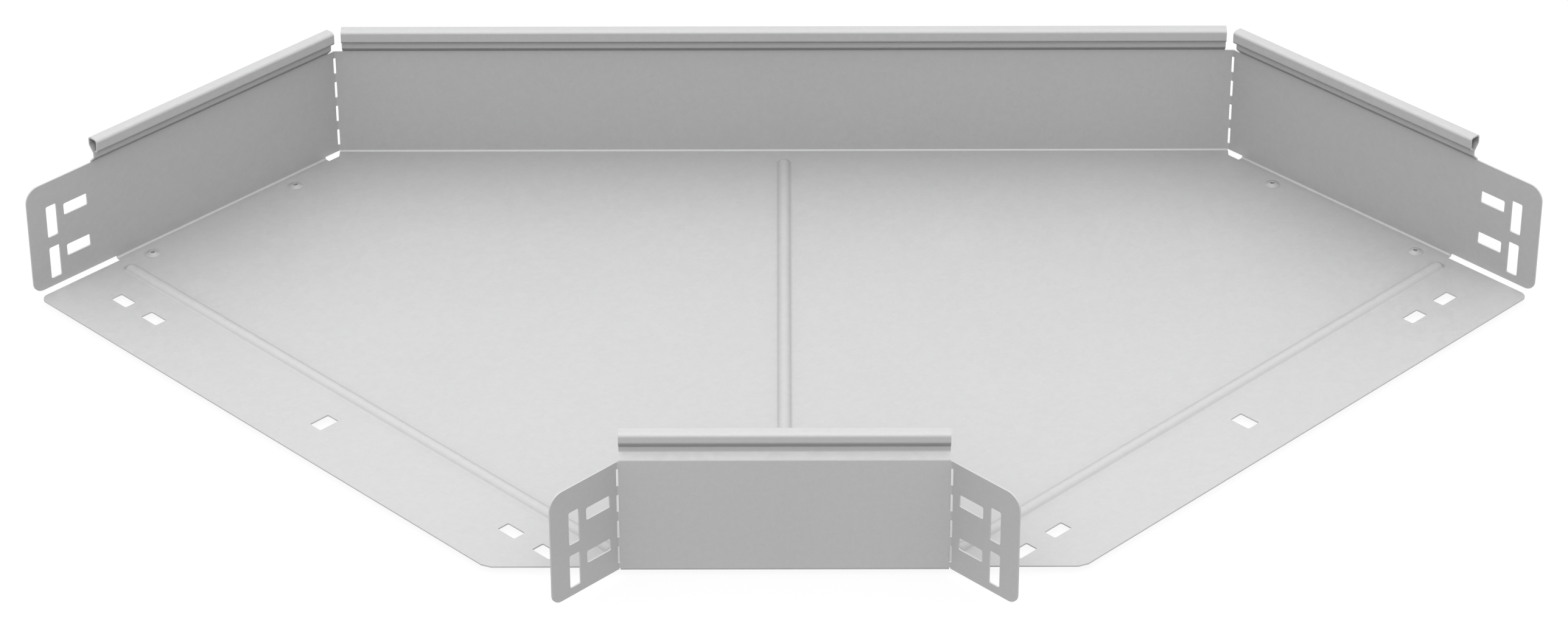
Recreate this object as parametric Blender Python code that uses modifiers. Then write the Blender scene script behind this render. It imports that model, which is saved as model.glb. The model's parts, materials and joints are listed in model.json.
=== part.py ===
"""A 90 degree cable tray bend, folded from one perforated sheet and held by four blind rivets.

The sheet is modelled as the shop folds it. Its outer skin is swept as open strips: the floor, the long
outer wall, two end walls that fold off it along perforated lines, and the short inner bracket with its
two flaps. A hem is rolled along every top edge. The skin of one half is mirrored and thickened to the
sheet's gauge, the stiffening beads are pressed into the floor, and the slots are cut last.

Working frame, under the empty: X runs across the bend, +Y points at its outer corner, Z is up, the outer
face of the long wall lies on y = 0 and the top of the floor on z = 0. The empty turns that frame by 45
degrees, so that the two legs run along -X and -Y of the world. All sizes are in metres.
"""

import math

import bmesh
import bpy
from mathutils import Matrix, Vector

# Sheet
SHEET_THICKNESS = 0.0008
BEND_INNER_RADIUS = 0.0011
FOLD_INNER_RADIUS = 0.0004
FOLD_ANGLE = math.radians(45)
LAP_GAP = 0.0001

# Plan of the bend, over the outer faces of the sheet
END_WALL_LENGTH = 0.2145
FLAP_LENGTH = 0.0446
OUTSIDE_WIDTH = 0.4069
BRACKET_LENGTH = 0.1624
FLOOR_SIDE_SETBACK = 0.0050
FLOOR_FRONT_SETBACK = 0.0030
FLOOR_CORNER_RADIUS = 0.005
FLOOR_CHAMFER = 0.003

# Height of the plain wall above the top of the floor, and how far its free edge reaches below its bend
WALL_TOP = 0.06375
FREE_EDGE_DROP = 0.00065

# Rolled hem, with its height and its jog measured up from the top of the plain wall
HEM_HEIGHT = 0.01595
JOG_RISE = 0.00075
HEM_WIDTH = 0.0072
HEM_DEPTH = 0.00785
HEM_LIP = 0.0023
HEM_SHOULDER = 0.0053
HEM_NECK_DEPTH = 0.0032
HEM_NECK_HEIGHT = 0.0028
HEM_OUTER_RADIUS = 0.0026
HEM_INNER_RADIUS = 0.0022
HEM_LIP_RADIUS = 0.0015
HEM_SHOULDER_RADIUS = 0.0025
HEM_NECK_RADIUS = 0.0012
JOG_RADIUS = 0.0012

# Where hems, bends and laps stop short of the folds and the open ends
LONG_HEM_SETBACK = 0.0051
END_HEM_START = 0.0049
END_HEM_END = 0.1704
BRACKET_HEM_SETBACK = 0.0007
BEND_RELIEF = 0.0006
LAP_START = 0.0106
LAP_BEYOND_RIVET = 0.0153
LAP_WIDTH = 0.020
LAP_CORNER_RADIUS = 0.004
WALL_TOP_CORNER_RADIUS = 0.008
WALL_FOOT_CORNER_RADIUS = 0.006

# Fold line perforation
SLIT_WIDTH = 0.0015
SLIT_LENGTH = 0.0099
SLIT_PITCH = 0.01515
SLIT_COUNT = 4
LOWEST_SLIT_HEIGHT = 0.0092
SLIT_CORNER_RADIUS = 0.0003

# Bolt slots, placed from the open end of each leg
SLOT_CORNER_RADIUS = 0.0010
FLOOR_SLOT_CORNER_RADIUS = 0.0009
UPRIGHT_SLOT_WIDTH = 0.0070
UPRIGHT_SLOT_LENGTH = 0.0190
UPRIGHT_SLOT_FROM_END = 0.0155
UPRIGHT_SLOT_HEIGHTS = (0.0145, 0.0398)
LEVEL_SLOT_WIDTH = 0.0070
LEVEL_SLOT_LENGTH = 0.0158
LEVEL_SLOT_FROM_END = 0.0315
LEVEL_SLOT_HEIGHTS = (0.0180, 0.0433)
FLOOR_SLOT_WIDTH = 0.0073
FLOOR_SLOT_LENGTH = 0.0123
FLOOR_SLOT_FROM_END = 0.0299
FLOOR_SLOT_ROW_SHIFT = 0.0008
FLOOR_SLOT_INSETS = (0.03795, 0.06325)
MIDDLE_SLOT_WIDTH = 0.0083
MIDDLE_SLOT_LENGTH = 0.0123
MIDDLE_SLOT_FROM_END = 0.0282

# Stiffening beads pressed up into the floor
BEAD_RADIUS = 0.0042
BEAD_HEIGHT = 0.0031
SIDE_BEAD_FROM_END = 0.0533
SIDE_BEAD_END_SETBACK = 0.0123
CENTRE_BEAD_BACK_SETBACK = 0.0115
CENTRE_BEAD_FRONT_SETBACK = 0.0120

# Blind rivets through the floor and the laps
RIVET_DISTANCES = {"inner": 0.0423, "outer": 0.1433}
RIVET_FROM_WALL = 0.0123
RIVET_CLEARANCE = 0.0001
RIVET_SHANK_RADIUS = 0.0024
RIVET_HEAD_RADIUS = 0.0045
RIVET_HEAD_HEIGHT = 0.0013
RIVET_RIM_HEIGHT = 0.00015
RIVET_TAIL_RADIUS = 0.0033
RIVET_TAIL_HEIGHT = 0.0024
RIVET_TAIL_ROUNDING = 0.0006
MANDREL_RADIUS = 0.0011
MANDREL_HEAD_RADIUS = 0.0019
MANDREL_HEAD_HEIGHT = 0.0012
MANDREL_RECESS = 0.0018

# Faceting
FOLD_FACETS = 3
ARC_STEP = math.radians(15)
CORNER_STEP = math.radians(22.5)
BEAD_STEP = math.radians(18)
TURNED_STEPS = 32
WELD_DISTANCE = 1e-6
CUTTER_REACH = 0.006

END_WALL_RUN = Vector((-math.sin(FOLD_ANGLE), -math.cos(FOLD_ANGLE), 0))
END_WALL_INWARD = Vector((math.cos(FOLD_ANGLE), -math.sin(FOLD_ANGLE), 0))
OUTER_TO_BRACKET = END_WALL_RUN * (END_WALL_LENGTH - FLAP_LENGTH) + END_WALL_INWARD * OUTSIDE_WIDTH
OUTER_VERTEX = Vector((-BRACKET_LENGTH / 2 - OUTER_TO_BRACKET.x, 0, 0))
BRACKET_VERTEX = OUTER_VERTEX + OUTER_TO_BRACKET
OUTER_FOOT = BEND_INNER_RADIUS
FREE_EDGE = OUTER_FOOT - FREE_EDGE_DROP
LAP_FOOT = OUTER_FOOT - SHEET_THICKNESS - LAP_GAP
BEND_OUTER_RADIUS = BEND_INNER_RADIUS + SHEET_THICKNESS
LAP_UNDERSIDE = -(2 * SHEET_THICKNESS + LAP_GAP)
LAP_END = max(RIVET_DISTANCES.values()) + LAP_BEYOND_RIVET


class Station:
    """A place along a folded wall: a point on its outer face and the way into the channel."""

    def __init__(self, origin, inward):
        self.origin = origin
        self.inward = inward

    def place(self, point):
        """The point (depth into the channel, height) of the wall's section, in the working frame."""
        depth, height = point
        return self.origin + self.inward * depth + Vector((0, 0, height))


def arc(centre, radius, first, last, step):
    """Points on an arc in a plane, both ends included."""
    count = max(1, math.ceil(abs(last - first) / step - 1e-6))
    angles = [first + (last - first) * i / count for i in range(count + 1)]
    return [(centre[0] + radius * math.cos(a), centre[1] + radius * math.sin(a)) for a in angles]


def rounded_path(corners, step=CORNER_STEP, closed=False):
    """A path through (x, y, radius) corners, each turned into an arc; a radius of 0 stays sharp."""
    points = []
    count = len(corners)
    for index, (x, y, radius) in enumerate(corners):
        at_end = not closed and index in (0, count - 1)
        if at_end or radius == 0:
            points.append((x, y))
            continue
        here = Vector((x, y))
        before = Vector(corners[index - 1][:2]) - here
        after = Vector(corners[(index + 1) % count][:2]) - here
        before.normalize()
        after.normalize()
        half_turn = before.angle(after) / 2
        centre = here + (before + after).normalized() * radius / math.sin(half_turn)
        start = here + before * radius / math.tan(half_turn) - centre
        end = here + after * radius / math.tan(half_turn) - centre
        first = math.atan2(start.y, start.x)
        sweep = math.atan2(start.x * end.y - start.y * end.x, start.dot(end))
        points += arc(centre, radius, first, first + sweep, step)
    return points


def hem_section():
    """The hem's outer skin, from the top of the plain wall round to the curled lip."""
    jog_foot = WALL_TOP + JOG_RISE
    neck_foot = jog_foot + HEM_NECK_DEPTH
    hem_top = WALL_TOP + HEM_HEIGHT
    return rounded_path(
        [
            (0, WALL_TOP, 0),
            (0, jog_foot, JOG_RADIUS),
            (HEM_NECK_DEPTH, neck_foot, HEM_NECK_RADIUS),
            (HEM_NECK_DEPTH, neck_foot + HEM_NECK_HEIGHT, HEM_NECK_RADIUS),
            (0, hem_top - HEM_SHOULDER, HEM_SHOULDER_RADIUS),
            (0, hem_top, HEM_OUTER_RADIUS),
            (HEM_WIDTH, hem_top, HEM_INNER_RADIUS),
            (HEM_WIDTH, hem_top - HEM_DEPTH, HEM_LIP_RADIUS),
            (HEM_WIDTH - HEM_LIP, hem_top - HEM_DEPTH, 0),
        ],
        step=ARC_STEP,
    )


def bend_section(foot):
    """The outer skin of a bottom bend, from the floor or lap up to the wall that stands on it."""
    centre = (BEND_OUTER_RADIUS, foot)
    return arc(centre, BEND_OUTER_RADIUS, math.radians(-90), math.radians(-180), ARC_STEP)


BENT_WALL = [(0, OUTER_FOOT), (0, WALL_TOP)]
FREE_WALL = [(0, FREE_EDGE), *BENT_WALL]
LAPPED_WALL = [(0, LAP_FOOT), *FREE_WALL]


def long_wall_station(x):
    return Station(Vector((x, 0, 0)), Vector((0, -1, 0)))


def end_wall_station(run):
    return Station(OUTER_VERTEX + END_WALL_RUN * run, END_WALL_INWARD)


def bracket_station(x):
    return Station(Vector((x, BRACKET_VERTEX.y, 0)), Vector((0, 1, 0)))


def flap_station(run):
    return Station(BRACKET_VERTEX + END_WALL_RUN * run, -END_WALL_INWARD)


def fold_stations(vertex, radius, side):
    """Stations round a vertical fold whose outer face bends by FOLD_ANGLE; side is 1 if it closes inward."""
    tangent = radius * math.tan(FOLD_ANGLE / 2)
    centre = vertex + Vector((tangent, -radius, 0))
    stations = []
    for index in range(FOLD_FACETS + 1):
        turn = FOLD_ANGLE * index / FOLD_FACETS
        inward = Vector((side * math.sin(turn), -side * math.cos(turn), 0))
        stations.append(Station(centre - inward * side * radius, inward))
    return stations


def sweep(sheet, section, first, last):
    """Adds the strip that a section leaves between two stations."""
    verts = [sheet.verts.new(first.place(point)) for point in section]
    edges = [sheet.edges.new(pair) for pair in zip(verts, verts[1:])]
    swept = bmesh.ops.extrude_edge_only(sheet, edges=edges)["geom"]
    moved = [item for item in swept if isinstance(item, bmesh.types.BMVert)]
    bmesh.ops.translate(sheet, verts=moved, vec=last.origin - first.origin)


def sweep_along(sheet, section, stations):
    for first, last in zip(stations, stations[1:]):
        sweep(sheet, section, first, last)


def flat_face(sheet, points):
    sheet.faces.new([sheet.verts.new(point) for point in points])


def end_panel(sheet, station, start, end):
    """The flat end of a wall or flap, with a large round at its top corner and a smaller one at its foot."""
    outline = rounded_path(
        [
            (start, OUTER_FOOT, 0),
            (start, FREE_EDGE, 0),
            (end, FREE_EDGE, WALL_FOOT_CORNER_RADIUS),
            (end, WALL_TOP, WALL_TOP_CORNER_RADIUS),
            (start, WALL_TOP, 0),
        ],
        closed=True,
    )
    flat_face(sheet, [station(run).place((0, height)) for run, height in outline])


def wall_stops(vertex, hem_setback):
    """Places from a wall's middle out to its fold, one where the hem ends and one where the bend ends."""
    return sorted([0, vertex.x + hem_setback, vertex.x + BEND_RELIEF], reverse=True)


def wall_half(sheet, station, vertex, hem_setback, fold):
    """Half of a wall that is bent up from the floor, with its hem, out to the fold at its end."""
    stops = wall_stops(vertex, hem_setback)
    stations = [station(x) for x in stops]
    hemmed = [station(x) for x in stops if x >= vertex.x + hem_setback]
    bent = [station(x) for x in stops if x >= vertex.x + BEND_RELIEF]
    sweep_along(sheet, BENT_WALL, [*stations, fold[0]])
    sweep_along(sheet, FREE_WALL, fold)
    sweep_along(sheet, hem_section(), hemmed)
    sweep_along(sheet, bend_section(OUTER_FOOT), bent)


def long_wall(sheet):
    """The left half of the long outer wall. It returns the last station of the fold at its end."""
    fold = fold_stations(OUTER_VERTEX, FOLD_INNER_RADIUS + SHEET_THICKNESS, 1)
    wall_half(sheet, long_wall_station, OUTER_VERTEX, LONG_HEM_SETBACK, fold)
    return fold[-1]


def end_wall(sheet, fold_end):
    """The left end wall: plain at both ends, hemmed in between, with a lap tucked under the floor."""
    fold_run = END_WALL_RUN.dot(fold_end.origin - OUTER_VERTEX)
    runs = sorted([fold_run, END_HEM_START, LAP_START, LAP_END, END_HEM_END])
    for start, end in zip(runs, runs[1:]):
        ends = end_wall_station(start), end_wall_station(end)
        lapped = LAP_START <= start < LAP_END
        sweep(sheet, LAPPED_WALL if lapped else FREE_WALL, *ends)
        if lapped:
            sweep(sheet, bend_section(LAP_FOOT), *ends)
        if END_HEM_START <= start < END_HEM_END:
            sweep(sheet, hem_section(), *ends)
    end_panel(sheet, end_wall_station, runs[-1], END_WALL_LENGTH)
    lap = rounded_path(
        [
            *[(run, BEND_OUTER_RADIUS, 0) for run in runs if LAP_START <= run <= LAP_END],
            (LAP_END, LAP_WIDTH, LAP_CORNER_RADIUS),
            (LAP_START, LAP_WIDTH, LAP_CORNER_RADIUS),
        ],
        closed=True,
    )
    flat_face(sheet, [end_wall_station(run).place((depth, LAP_UNDERSIDE)) for run, depth in lap])


def bracket(sheet):
    """The left half of the inner bracket, with the flap that folds off its side."""
    fold = fold_stations(BRACKET_VERTEX, FOLD_INNER_RADIUS, -1)
    wall_half(sheet, bracket_station, BRACKET_VERTEX, BRACKET_HEM_SETBACK, fold)
    end_panel(sheet, flap_station, END_WALL_RUN.dot(fold[-1].origin - BRACKET_VERTEX), FLAP_LENGTH)


def leg_point(run, depth):
    """A point of the left leg, from its distance along the end wall and its depth from that wall."""
    place = end_wall_station(run).place((depth, 0))
    return place.x, place.y


def floor_plate(sheet):
    """Half of the floor, from the foot of the long wall's bend to the foot of the bracket's."""
    back = -BEND_OUTER_RADIUS
    bend_front = BRACKET_VERTEX.y + BEND_OUTER_RADIUS
    free_front = BRACKET_VERTEX.y + FLOOR_FRONT_SETBACK
    notch_x = OUTER_VERTEX.x + BEND_RELIEF
    notch_run = FLOOR_SIDE_SETBACK - (notch_x - OUTER_VERTEX.x) / END_WALL_INWARD.x
    opening_depth = -(free_front + OUTER_VERTEX.y) / math.sin(FOLD_ANGLE) - END_WALL_LENGTH
    bracket_stops = wall_stops(BRACKET_VERTEX, BRACKET_HEM_SETBACK)
    corners = [
        *[(x, back, 0) for x in wall_stops(OUTER_VERTEX, LONG_HEM_SETBACK) if x >= notch_x],
        (*leg_point(notch_run, FLOOR_SIDE_SETBACK), 0),
        (*leg_point(END_WALL_LENGTH, FLOOR_SIDE_SETBACK), FLOOR_CORNER_RADIUS),
        (*leg_point(END_WALL_LENGTH, opening_depth - FLOOR_CHAMFER), 0),
        (leg_point(END_WALL_LENGTH, opening_depth)[0] + FLOOR_CHAMFER, free_front, 0),
        (BRACKET_VERTEX.x + BEND_RELIEF, free_front, 0),
        *[(x, bend_front, 0) for x in reversed(bracket_stops) if x >= BRACKET_VERTEX.x + BEND_RELIEF],
    ]
    outline = rounded_path(corners, closed=True)
    flat_face(sheet, [Vector((x, y, -SHEET_THICKNESS)) for x, y in outline])


def half_skin():
    """The outer skin of the sheet's left half, as one open surface that faces out."""
    sheet = bmesh.new()
    fold_end = long_wall(sheet)
    end_wall(sheet, fold_end)
    bracket(sheet)
    floor_plate(sheet)
    bmesh.ops.remove_doubles(sheet, verts=sheet.verts, dist=WELD_DISTANCE)
    bmesh.ops.recalc_face_normals(sheet, faces=sheet.faces)
    lap_or_floor = max(sheet.faces, key=lambda face: face.calc_area())
    if lap_or_floor.normal.z > 0:
        bmesh.ops.reverse_faces(sheet, faces=sheet.faces)
    return sheet


def prism(cutters, outline, depth, frame):
    """A flat outline in the frame's XY plane, drawn out along its Z to depth on both sides."""
    verts = [cutters.verts.new(frame @ Vector((x, y, -depth))) for x, y in outline]
    face = cutters.faces.new(verts)
    swept = bmesh.ops.extrude_face_region(cutters, geom=[face])["geom"]
    moved = [item for item in swept if isinstance(item, bmesh.types.BMVert)]
    travel = frame.to_3x3() @ Vector((0, 0, 2 * depth))
    bmesh.ops.translate(cutters, verts=moved, vec=travel)


def rounded_rectangle(width, length, radius):
    half_width = width / 2
    half_length = length / 2
    signs = ((-1, -1), (1, -1), (1, 1), (-1, 1))
    return rounded_path([(half_width * x, half_length * y, radius) for x, y in signs], closed=True)


def upright_frame(origin, run, height):
    """A frame on a wall: X along its run, Y up, Z through the sheet."""
    up = Vector((0, 0, 1))
    through = run.cross(up)
    columns = Matrix((run, up, through)).transposed().to_4x4()
    return Matrix.Translation(origin + up * height) @ columns


def wall_slots(cutters, station, length):
    """The two upright and two level slots near the free end of a wall or flap."""
    upright = rounded_rectangle(UPRIGHT_SLOT_WIDTH, UPRIGHT_SLOT_LENGTH, SLOT_CORNER_RADIUS)
    level = rounded_rectangle(LEVEL_SLOT_LENGTH, LEVEL_SLOT_WIDTH, SLOT_CORNER_RADIUS)
    for height in UPRIGHT_SLOT_HEIGHTS:
        origin = station(length - UPRIGHT_SLOT_FROM_END).origin
        prism(cutters, upright, CUTTER_REACH, upright_frame(origin, END_WALL_RUN, height))
    for height in LEVEL_SLOT_HEIGHTS:
        origin = station(length - LEVEL_SLOT_FROM_END).origin
        prism(cutters, level, CUTTER_REACH, upright_frame(origin, END_WALL_RUN, height))


def fold_slits(cutters, vertex):
    """The row of slits that weakens a fold line, square to the fold's bisector."""
    outline = rounded_rectangle(SLIT_WIDTH, SLIT_LENGTH, SLIT_CORNER_RADIUS)
    run = Vector((-math.cos(FOLD_ANGLE / 2), -math.sin(FOLD_ANGLE / 2), 0))
    for index in range(SLIT_COUNT):
        height = LOWEST_SLIT_HEIGHT + index * SLIT_PITCH
        prism(cutters, outline, CUTTER_REACH, upright_frame(vertex, run, height))


def floor_frame(run, depth):
    """A frame on the floor of the left leg: X into the channel, Y along the leg, Z up."""
    x, y = leg_point(run, depth)
    columns = Matrix((END_WALL_INWARD, END_WALL_RUN, Vector((0, 0, 1)))).transposed().to_4x4()
    return Matrix.Translation((x, y, 0)) @ columns


def floor_slots(cutters):
    """The five slots across the floor near each open end; the middle one lies the other way."""
    outline = rounded_rectangle(FLOOR_SLOT_LENGTH, FLOOR_SLOT_WIDTH, FLOOR_SLOT_CORNER_RADIUS)
    row_centre = OUTSIDE_WIDTH / 2 + FLOOR_SLOT_ROW_SHIFT
    for inset in FLOOR_SLOT_INSETS:
        for side in (-1, 1):
            depth = row_centre + side * (OUTSIDE_WIDTH / 2 - inset)
            frame = floor_frame(END_WALL_LENGTH - FLOOR_SLOT_FROM_END, depth)
            prism(cutters, outline, CUTTER_REACH, frame)
    middle = rounded_rectangle(MIDDLE_SLOT_WIDTH, MIDDLE_SLOT_LENGTH, FLOOR_SLOT_CORNER_RADIUS)
    frame = floor_frame(END_WALL_LENGTH - MIDDLE_SLOT_FROM_END, row_centre)
    prism(cutters, middle, CUTTER_REACH, frame)


def rivet_holes(cutters):
    radius = RIVET_SHANK_RADIUS + RIVET_CLEARANCE
    outline = arc((0, 0), radius, 0, 2 * math.pi, 2 * math.pi / TURNED_STEPS)[:-1]
    for run in RIVET_DISTANCES.values():
        prism(cutters, outline, CUTTER_REACH, floor_frame(run, RIVET_FROM_WALL))


def hole_cutters():
    cutters = bmesh.new()
    wall_slots(cutters, end_wall_station, END_WALL_LENGTH)
    wall_slots(cutters, flap_station, FLAP_LENGTH)
    fold_slits(cutters, OUTER_VERTEX)
    fold_slits(cutters, BRACKET_VERTEX)
    floor_slots(cutters)
    rivet_holes(cutters)
    bmesh.ops.recalc_face_normals(cutters, faces=cutters.faces)
    return cutters


def capsule(beads, first, last, radius, cut_height=None):
    """A round-ended rod between two points of the floor plan, cut off below cut_height if one is given."""
    rod = bmesh.new()
    length = (last - first).length
    ends = arc((0, 0), radius, math.pi, math.pi / 2, BEAD_STEP)
    ends += arc((length, 0), radius, math.pi / 2, 0, BEAD_STEP)
    verts = [rod.verts.new((along, max(0, away), 0)) for along, away in ends]
    edges = [rod.edges.new(pair) for pair in zip(verts, verts[1:])]
    steps = round(2 * math.pi / BEAD_STEP)
    bmesh.ops.spin(
        rod, geom=verts + edges, cent=(0, 0, 0), axis=(1, 0, 0), dvec=(0, 0, 0), angle=2 * math.pi, steps=steps
    )
    bmesh.ops.remove_doubles(rod, verts=rod.verts, dist=WELD_DISTANCE)
    heading = (last - first).normalized()
    side = Vector((0, 0, 1)).cross(heading)
    turn = Matrix((heading, side, Vector((0, 0, 1)))).transposed().to_4x4()
    centre_height = BEAD_HEIGHT - BEAD_RADIUS
    rod.transform(Matrix.Translation(first + Vector((0, 0, centre_height))) @ turn)
    if cut_height is not None:
        everything = rod.verts[:] + rod.edges[:] + rod.faces[:]
        cut = bmesh.ops.bisect_plane(
            rod, geom=everything, plane_co=(0, 0, cut_height), plane_no=(0, 0, -1), clear_outer=True
        )
        rim = [item for item in cut["geom_cut"] if isinstance(item, bmesh.types.BMEdge)]
        bmesh.ops.edgeloop_fill(rod, edges=rim)
    bmesh.ops.recalc_face_normals(rod, faces=rod.faces)
    mesh = bpy.data.meshes.new("bead")
    rod.to_mesh(mesh)
    rod.free()
    beads.from_mesh(mesh)
    bpy.data.meshes.remove(mesh)


def side_bead_ends():
    """Centres of the round ends of the left leg's bead."""
    run = END_WALL_LENGTH - SIDE_BEAD_FROM_END
    near = SIDE_BEAD_END_SETBACK + BEAD_RADIUS
    ends = (near, OUTSIDE_WIDTH - near)
    return [Vector((*leg_point(run, depth), 0)) for depth in ends]


def centre_bead_ends():
    """Centres of the round ends of the bead on the bisector."""
    back = -(SHEET_THICKNESS + CENTRE_BEAD_BACK_SETBACK + BEAD_RADIUS)
    front = BRACKET_VERTEX.y + SHEET_THICKNESS + CENTRE_BEAD_FRONT_SETBACK + BEAD_RADIUS
    return [Vector((0, back, 0)), Vector((0, front, 0))]


def mirrored(ends):
    return [Vector((-end.x, end.y, end.z)) for end in ends]


def bead_solids(radius, cut_height=None):
    beads = bmesh.new()
    for ends in (side_bead_ends(), mirrored(side_bead_ends()), centre_bead_ends()):
        capsule(beads, *ends, radius, cut_height)
    return beads


def material(name, colour, roughness, metallic):
    made = bpy.data.materials.new(name)
    made.use_nodes = True
    shader = made.node_tree.nodes["Principled BSDF"]
    shader.inputs["Base Color"].default_value = (*colour, 1)
    shader.inputs["Roughness"].default_value = roughness
    shader.inputs["Metallic"].default_value = metallic
    return made


def mesh_object(name, shape, collection, parent):
    mesh = bpy.data.meshes.new(name)
    shape.to_mesh(mesh)
    shape.free()
    made = bpy.data.objects.new(name, mesh)
    made.parent = parent
    collection.objects.link(made)
    return made


def helper_object(name, shape, collection, parent):
    made = mesh_object(name, shape, collection, parent)
    made.hide_render = True
    made.display_type = "WIRE"
    return made


def mirror(target):
    modifier = target.modifiers.new("Mirror", "MIRROR")
    modifier.use_mirror_merge = True
    modifier.merge_threshold = WELD_DISTANCE


def boolean(target, name, operation, other):
    modifier = target.modifiers.new(name, "BOOLEAN")
    modifier.operation = operation
    modifier.solver = "EXACT"
    modifier.object = other


def tray_sheet(collection, cutters, root):
    """The folded sheet: one half's skin, mirrored, thickened, beaded and slotted."""
    sheet = mesh_object("tray_sheet", half_skin(), collection, root)
    mirror(sheet)
    gauge = sheet.modifiers.new("Gauge", "SOLIDIFY")
    gauge.thickness = SHEET_THICKNESS
    gauge.offset = -1
    gauge.use_even_offset = True
    gauge.use_quality_normals = True
    raised = helper_object("bead_outside", bead_solids(BEAD_RADIUS, -SHEET_THICKNESS / 2), cutters, root)
    hollow = helper_object("bead_inside", bead_solids(BEAD_RADIUS - SHEET_THICKNESS), cutters, root)
    holes = helper_object("slots_and_holes", hole_cutters(), cutters, root)
    mirror(holes)
    boolean(sheet, "Beads", "UNION", raised)
    boolean(sheet, "Bead hollows", "DIFFERENCE", hollow)
    boolean(sheet, "Slots and holes", "DIFFERENCE", holes)
    sheet.data.materials.append(material("galvanised_sheet", (0.62, 0.63, 0.64), 0.42, 0.85))


def turned(name, profile, closed, finish, collection, parent, location):
    """A turned piece: a profile in the XZ plane, swept about Z by a Screw modifier."""
    shape = bmesh.new()
    verts = [shape.verts.new((x, 0, z)) for x, z in profile]
    pairs = list(zip(verts, verts[1:] + verts[:1])) if closed else list(zip(verts, verts[1:]))
    for pair in pairs:
        shape.edges.new(pair)
    made = mesh_object(name, shape, collection, parent)
    made.location = location
    screw = made.modifiers.new("Turn", "SCREW")
    screw.steps = TURNED_STEPS
    screw.render_steps = TURNED_STEPS
    screw.use_merge_vertices = True
    screw.merge_threshold = WELD_DISTANCE
    made.data.materials.append(finish)
    return made


def dome(inner_radius, outer_radius, low, high):
    """Points of a flat dome from its rim to its centre hole."""
    rise = high - low
    sphere_radius = (outer_radius**2 + rise**2) / (2 * rise)
    centre_height = high - sphere_radius
    count = 5
    radii = [outer_radius + (inner_radius - outer_radius) * i / count for i in range(count + 1)]
    return [(radius, centre_height + math.sqrt(sphere_radius**2 - radius**2)) for radius in radii]


def rivet_sizes():
    """Heights shared by a rivet's body and its mandrel, above the top of the floor."""
    seat = RIVET_CLEARANCE
    tail_top = LAP_UNDERSIDE - RIVET_CLEARANCE
    tail_foot = tail_top - RIVET_TAIL_HEIGHT
    pocket_top = tail_foot + MANDREL_HEAD_HEIGHT + 2 * RIVET_CLEARANCE
    return seat, tail_top, tail_foot, pocket_top


def rivet_body_profile():
    seat, tail_top, tail_foot, pocket_top = rivet_sizes()
    bore = MANDREL_RADIUS + RIVET_CLEARANCE
    pocket = MANDREL_HEAD_RADIUS + RIVET_CLEARANCE
    rim = seat + RIVET_RIM_HEIGHT
    tail = rounded_path(
        [
            (RIVET_SHANK_RADIUS, tail_top, 0),
            (RIVET_TAIL_RADIUS, tail_top, RIVET_TAIL_ROUNDING),
            (RIVET_TAIL_RADIUS, tail_foot, RIVET_TAIL_ROUNDING),
            (pocket, tail_foot, 0),
        ]
    )
    head = dome(bore, RIVET_HEAD_RADIUS, rim, seat + RIVET_HEAD_HEIGHT)
    inside = [(pocket, pocket_top), (bore, pocket_top)]
    return inside + head[::-1] + [(RIVET_HEAD_RADIUS, seat), (RIVET_SHANK_RADIUS, seat)] + tail


def mandrel_profile():
    seat, _, tail_foot, pocket_top = rivet_sizes()
    top = seat + RIVET_HEAD_HEIGHT - MANDREL_RECESS
    head_foot = tail_foot + RIVET_CLEARANCE
    head_top = pocket_top - RIVET_CLEARANCE
    return [
        (0, top),
        (MANDREL_RADIUS, top),
        (MANDREL_RADIUS, head_top),
        (MANDREL_HEAD_RADIUS, head_top),
        (MANDREL_HEAD_RADIUS, head_foot),
        (0, head_foot),
    ]


def rivets(collection, root):
    """Four set blind rivets, each a headed body with the broken mandrel left in its bore."""
    body_finish = material("rivet_steel", (0.58, 0.59, 0.60), 0.38, 0.9)
    mandrel_finish = material("mandrel_steel", (0.20, 0.20, 0.21), 0.5, 0.9)
    for leg, side in (("west", 1), ("south", -1)):
        for place, run in RIVET_DISTANCES.items():
            x, y = leg_point(run, RIVET_FROM_WALL)
            location = (side * x, y, 0)
            ending = f"{leg}_{place}"
            turned(f"rivet_body_{ending}", rivet_body_profile(), True, body_finish, collection, root, location)
            turned(
                f"rivet_mandrel_{ending}", mandrel_profile(), False, mandrel_finish, collection, root, location
            )


def root_empty(collection):
    """Turns the working frame so that the legs run along -X and -Y, centred over the lowest point."""
    root = bpy.data.objects.new("bend_frame", None)
    root.location = (END_WALL_LENGTH / 2, END_WALL_LENGTH / 2, -rivet_sizes()[2])
    root.rotation_euler = (0, 0, -math.radians(45))
    collection.objects.link(root)
    return root


def new_collection(name):
    made = bpy.data.collections.new(name)
    bpy.context.scene.collection.children.link(made)
    return made


def main():
    for old in list(bpy.data.objects):
        bpy.data.objects.remove(old)
    collection = new_collection("cable_tray_bend")
    cutters = new_collection("cutters")
    root = root_empty(collection)
    tray_sheet(collection, cutters, root)
    rivets(collection, root)


main()
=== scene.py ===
"""Looks of a 90 degree cable tray bend: one folded, galvanised steel sheet and four blind rivets.

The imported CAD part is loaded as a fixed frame. The folded sheet and the rivets are built again here
with finer bends, a hem of slightly other radii, drawn beads and softened rivet heads, and stand for
their CAD nodes.

Working frame of the shapes: X runs across the bend, +Y points at its outer corner, Z is up, the
outer face of the long wall lies on y = 0 and the top of the floor on z = 0. BendPlan.placement
turns that frame into the part's own, where the legs run along -X and -Y. All sizes are in metres.
"""

import json
import logging
import math
from dataclasses import dataclass, field, replace
from enum import Enum
from typing import Any, Callable, Iterable, Mapping, Optional, Sequence

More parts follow.
